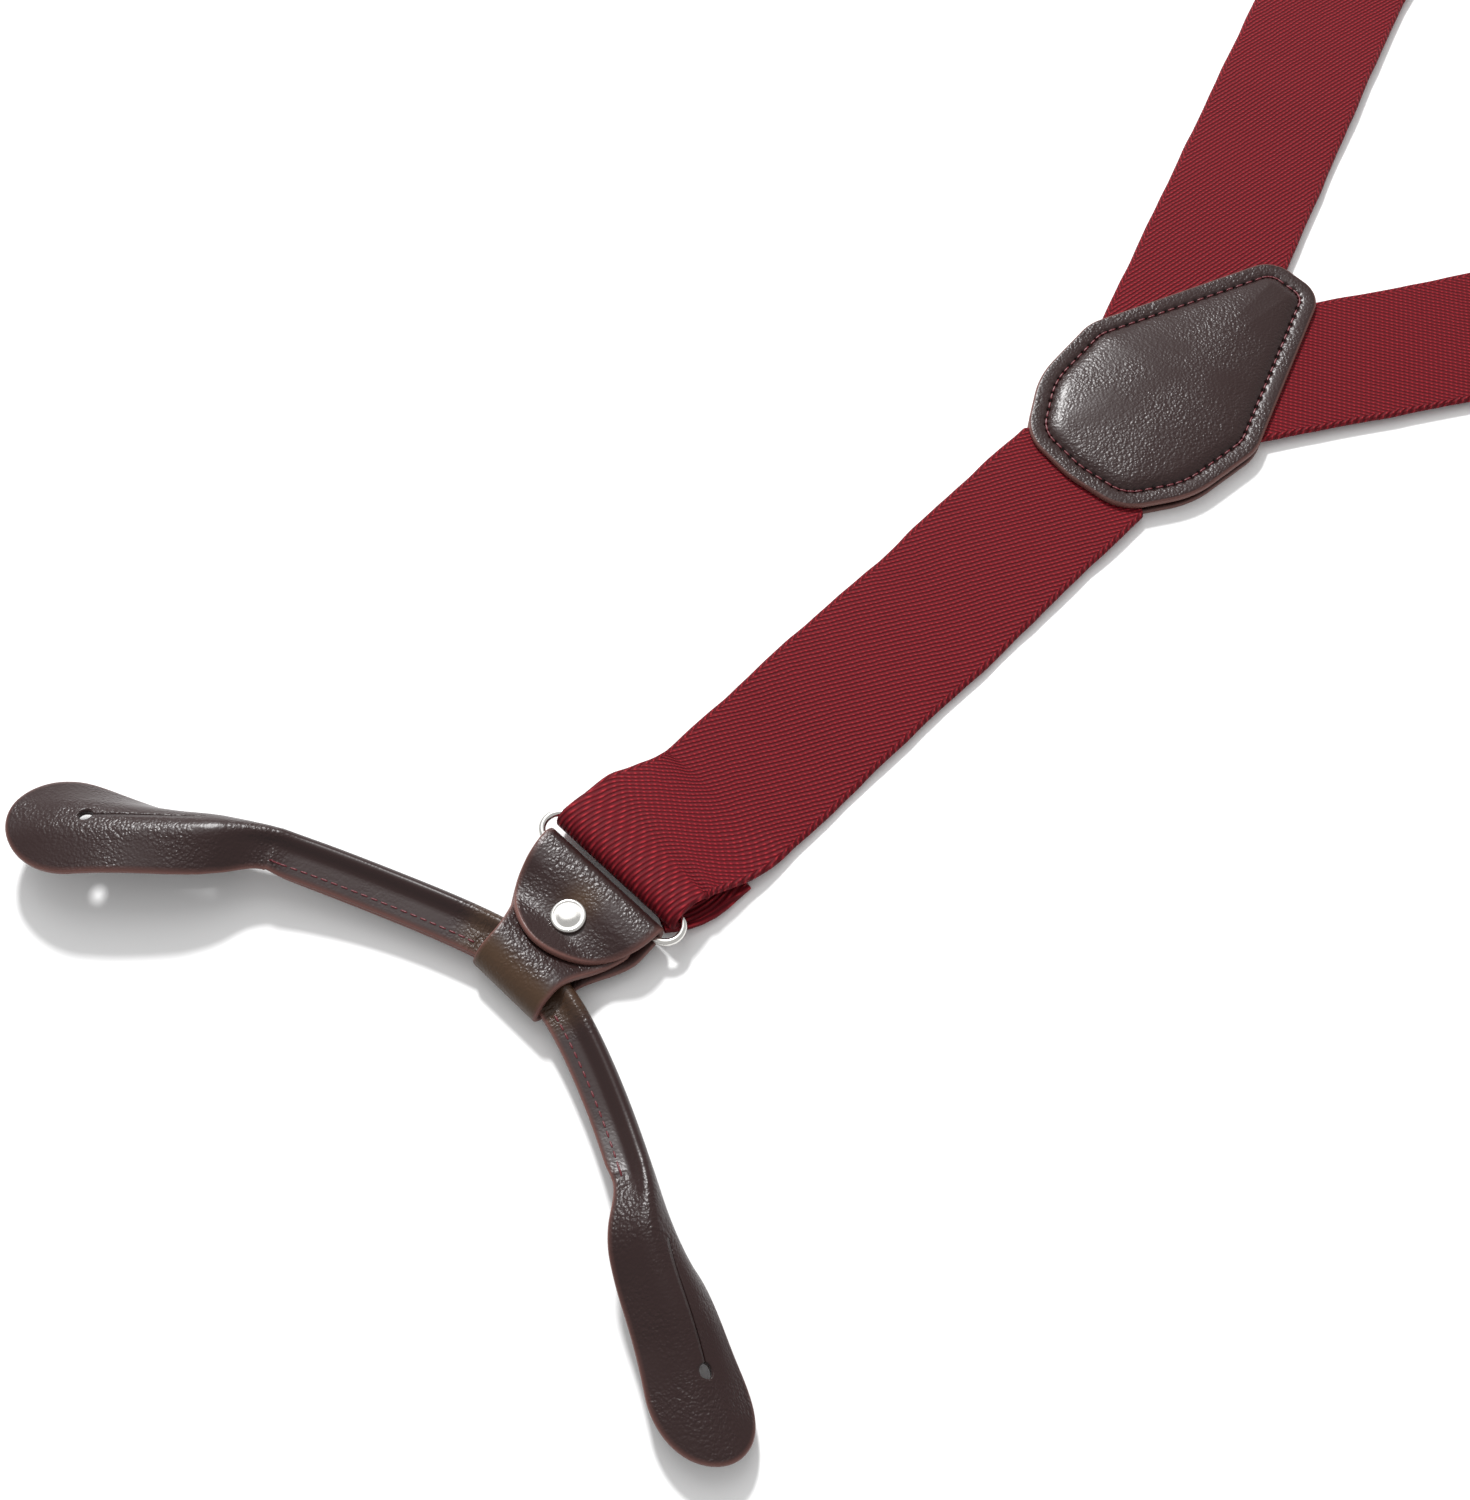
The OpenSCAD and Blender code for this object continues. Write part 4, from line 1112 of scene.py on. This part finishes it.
# ---------- stage ----------

AIM = Vector((-0.0077, -0.14125, 0.0))
# name, place from the aim in metres, diameter in metres, power in watts
LIGHTS = (("key", (-0.96, 0.656, 1.104), 0.22, 30.0),
          ("broad", (-0.7, 0.45, 1.4), 1.3, 4.5))


def turn_to_aim(obj):
    """Turns a light or camera so that it looks at the aim."""
    obj.rotation_euler = (AIM - obj.location).to_track_quat("-Z", "Y").to_euler()


def stage():
    """White floor, a key light and a broad soft one from behind on the left, a dim surround."""
    scene = bpy.context.scene
    mesh = bpy.data.meshes.new("floor")
    size = 4.0
    mesh.from_pydata([(-size, -size, 0), (size, -size, 0), (size, size, 0), (-size, size, 0)],
                     [], [(0, 1, 2, 3)])
    mesh.materials.append(material("matt white floor"))
    floor = bpy.data.objects.new("floor", mesh)
    scene.collection.objects.link(floor)
    for name, away, size, energy in LIGHTS:
        light = bpy.data.lights.new(name, "AREA")
        light.shape, light.size, light.energy = "DISK", size, energy
        lamp = bpy.data.objects.new(name, light)
        lamp.location = AIM + Vector(away)
        turn_to_aim(lamp)
        scene.collection.objects.link(lamp)
    world = bpy.data.worlds.new("surround")
    world.use_nodes = True
    world.node_tree.nodes.clear()
    sky = add(world.node_tree, "Background", {"Color": (1, 1, 1, 1), "Strength": 0.6})
    add(world.node_tree, "OutputWorld", {0: sky.outputs[0]})
    scene.world = world
    camera = bpy.data.cameras.new("camera")
    camera.lens, camera.sensor_width = 50.0, 36.0
    camera.clip_start, camera.clip_end = 0.01, 20.0
    view = bpy.data.objects.new("camera", camera)
    view.location = (0.1335, -0.2864, 0.3906)
    turn_to_aim(view)
    scene.collection.objects.link(view)
    scene.camera = view
    scene.view_settings.view_transform = "Standard"


# ---------- operators ----------

class SUSPENDERS_OT_patch(bpy.types.Operator):
    """Leather crosspatch with its lining and thread"""
    bl_idname = "suspenders.patch"
    bl_label = "Crosspatch"

    def execute(self, context):
        patch()
        return {"FINISHED"}


class SUSPENDERS_OT_webbing(bpy.types.Operator):
    """Elastic webbing of the back, shoulders and fronts"""
    bl_idname = "suspenders.webbing"
    bl_label = "Webbing"

    def execute(self, context):
        back_webbing()
        fold_thread()
        for side in (LEFT, RIGHT):
            shoulder_webbing(side)
            front_webbings(side)
        return {"FINISHED"}


class SUSPENDERS_OT_hangers(bpy.types.Operator):
    """Leather hangers that hold the ear strips to the rings"""
    bl_idname = "suspenders.hangers"
    bl_label = "Hangers"

    def execute(self, context):
        for end, lean in ENDS:
            hanger(end, lean)
        return {"FINISHED"}


class SUSPENDERS_OT_ears(bpy.types.Operator):
    """Rolled ear strips with button holes and seam threads"""
    bl_idname = "suspenders.ears"
    bl_label = "Ears"

    def execute(self, context):
        ears(BACK, ("back_left", "back_right"))
        ears(LEFT, ("left_inner", "left_outer"))
        ears(RIGHT, ("right_outer", "right_inner"))
        return {"FINISHED"}


class SUSPENDERS_OT_metal(bpy.types.Operator):
    """Rings, rivets and adjusters in polished nickel"""
    bl_idname = "suspenders.metal"
    bl_label = "Metal"

    def execute(self, context):
        for end, lean in ENDS:
            ring(end)
            rivet(end, lean)
        metal_nodes()
        return {"FINISHED"}


class SUSPENDERS_OT_stage(bpy.types.Operator):
    """Floor, lights and camera"""
    bl_idname = "suspenders.stage"
    bl_label = "Stage"

    def execute(self, context):
        stage()
        return {"FINISHED"}


class SUSPENDERS_PT_panel(bpy.types.Panel):
    """Lists the parts, sizes and colours"""
    bl_idname = "SUSPENDERS_PT_panel"
    bl_label = "Suspenders"
    bl_space_type = "VIEW_3D"
    bl_region_type = "UI"
    bl_category = "Suspenders"

    def draw(self, context):
        for operator in OPERATORS:
            self.layout.operator(operator.bl_idname)
        for group in (context.scene.suspender_sizes, context.scene.suspender_colours):
            for key in group.bl_rna.properties.keys():
                if key not in ("rna_type", "name"):
                    self.layout.prop(group, key)


OPERATORS = (SUSPENDERS_OT_patch, SUSPENDERS_OT_webbing, SUSPENDERS_OT_hangers,
             SUSPENDERS_OT_ears, SUSPENDERS_OT_metal, SUSPENDERS_OT_stage)
CLASSES = (SuspenderSizes, SuspenderColours, *OPERATORS, SUSPENDERS_PT_panel)


def register():
    """Adds the classes and puts both property groups on the scene."""
    for cls in CLASSES:
        bpy.utils.register_class(cls)
    bpy.types.Scene.suspender_sizes = bpy.props.PointerProperty(type=SuspenderSizes)
    bpy.types.Scene.suspender_colours = bpy.props.PointerProperty(type=SuspenderColours)


def unregister():
    """Undoes register in the opposite order."""
    del bpy.types.Scene.suspender_sizes
    del bpy.types.Scene.suspender_colours
    for cls in reversed(CLASSES):
        bpy.utils.unregister_class(cls)


def main():
    """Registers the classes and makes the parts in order."""
    register()
    for operator in OPERATORS:
        group, name = operator.bl_idname.split(".")
        getattr(getattr(bpy.ops, group), name)()


if __name__ == "__main__":
    main()
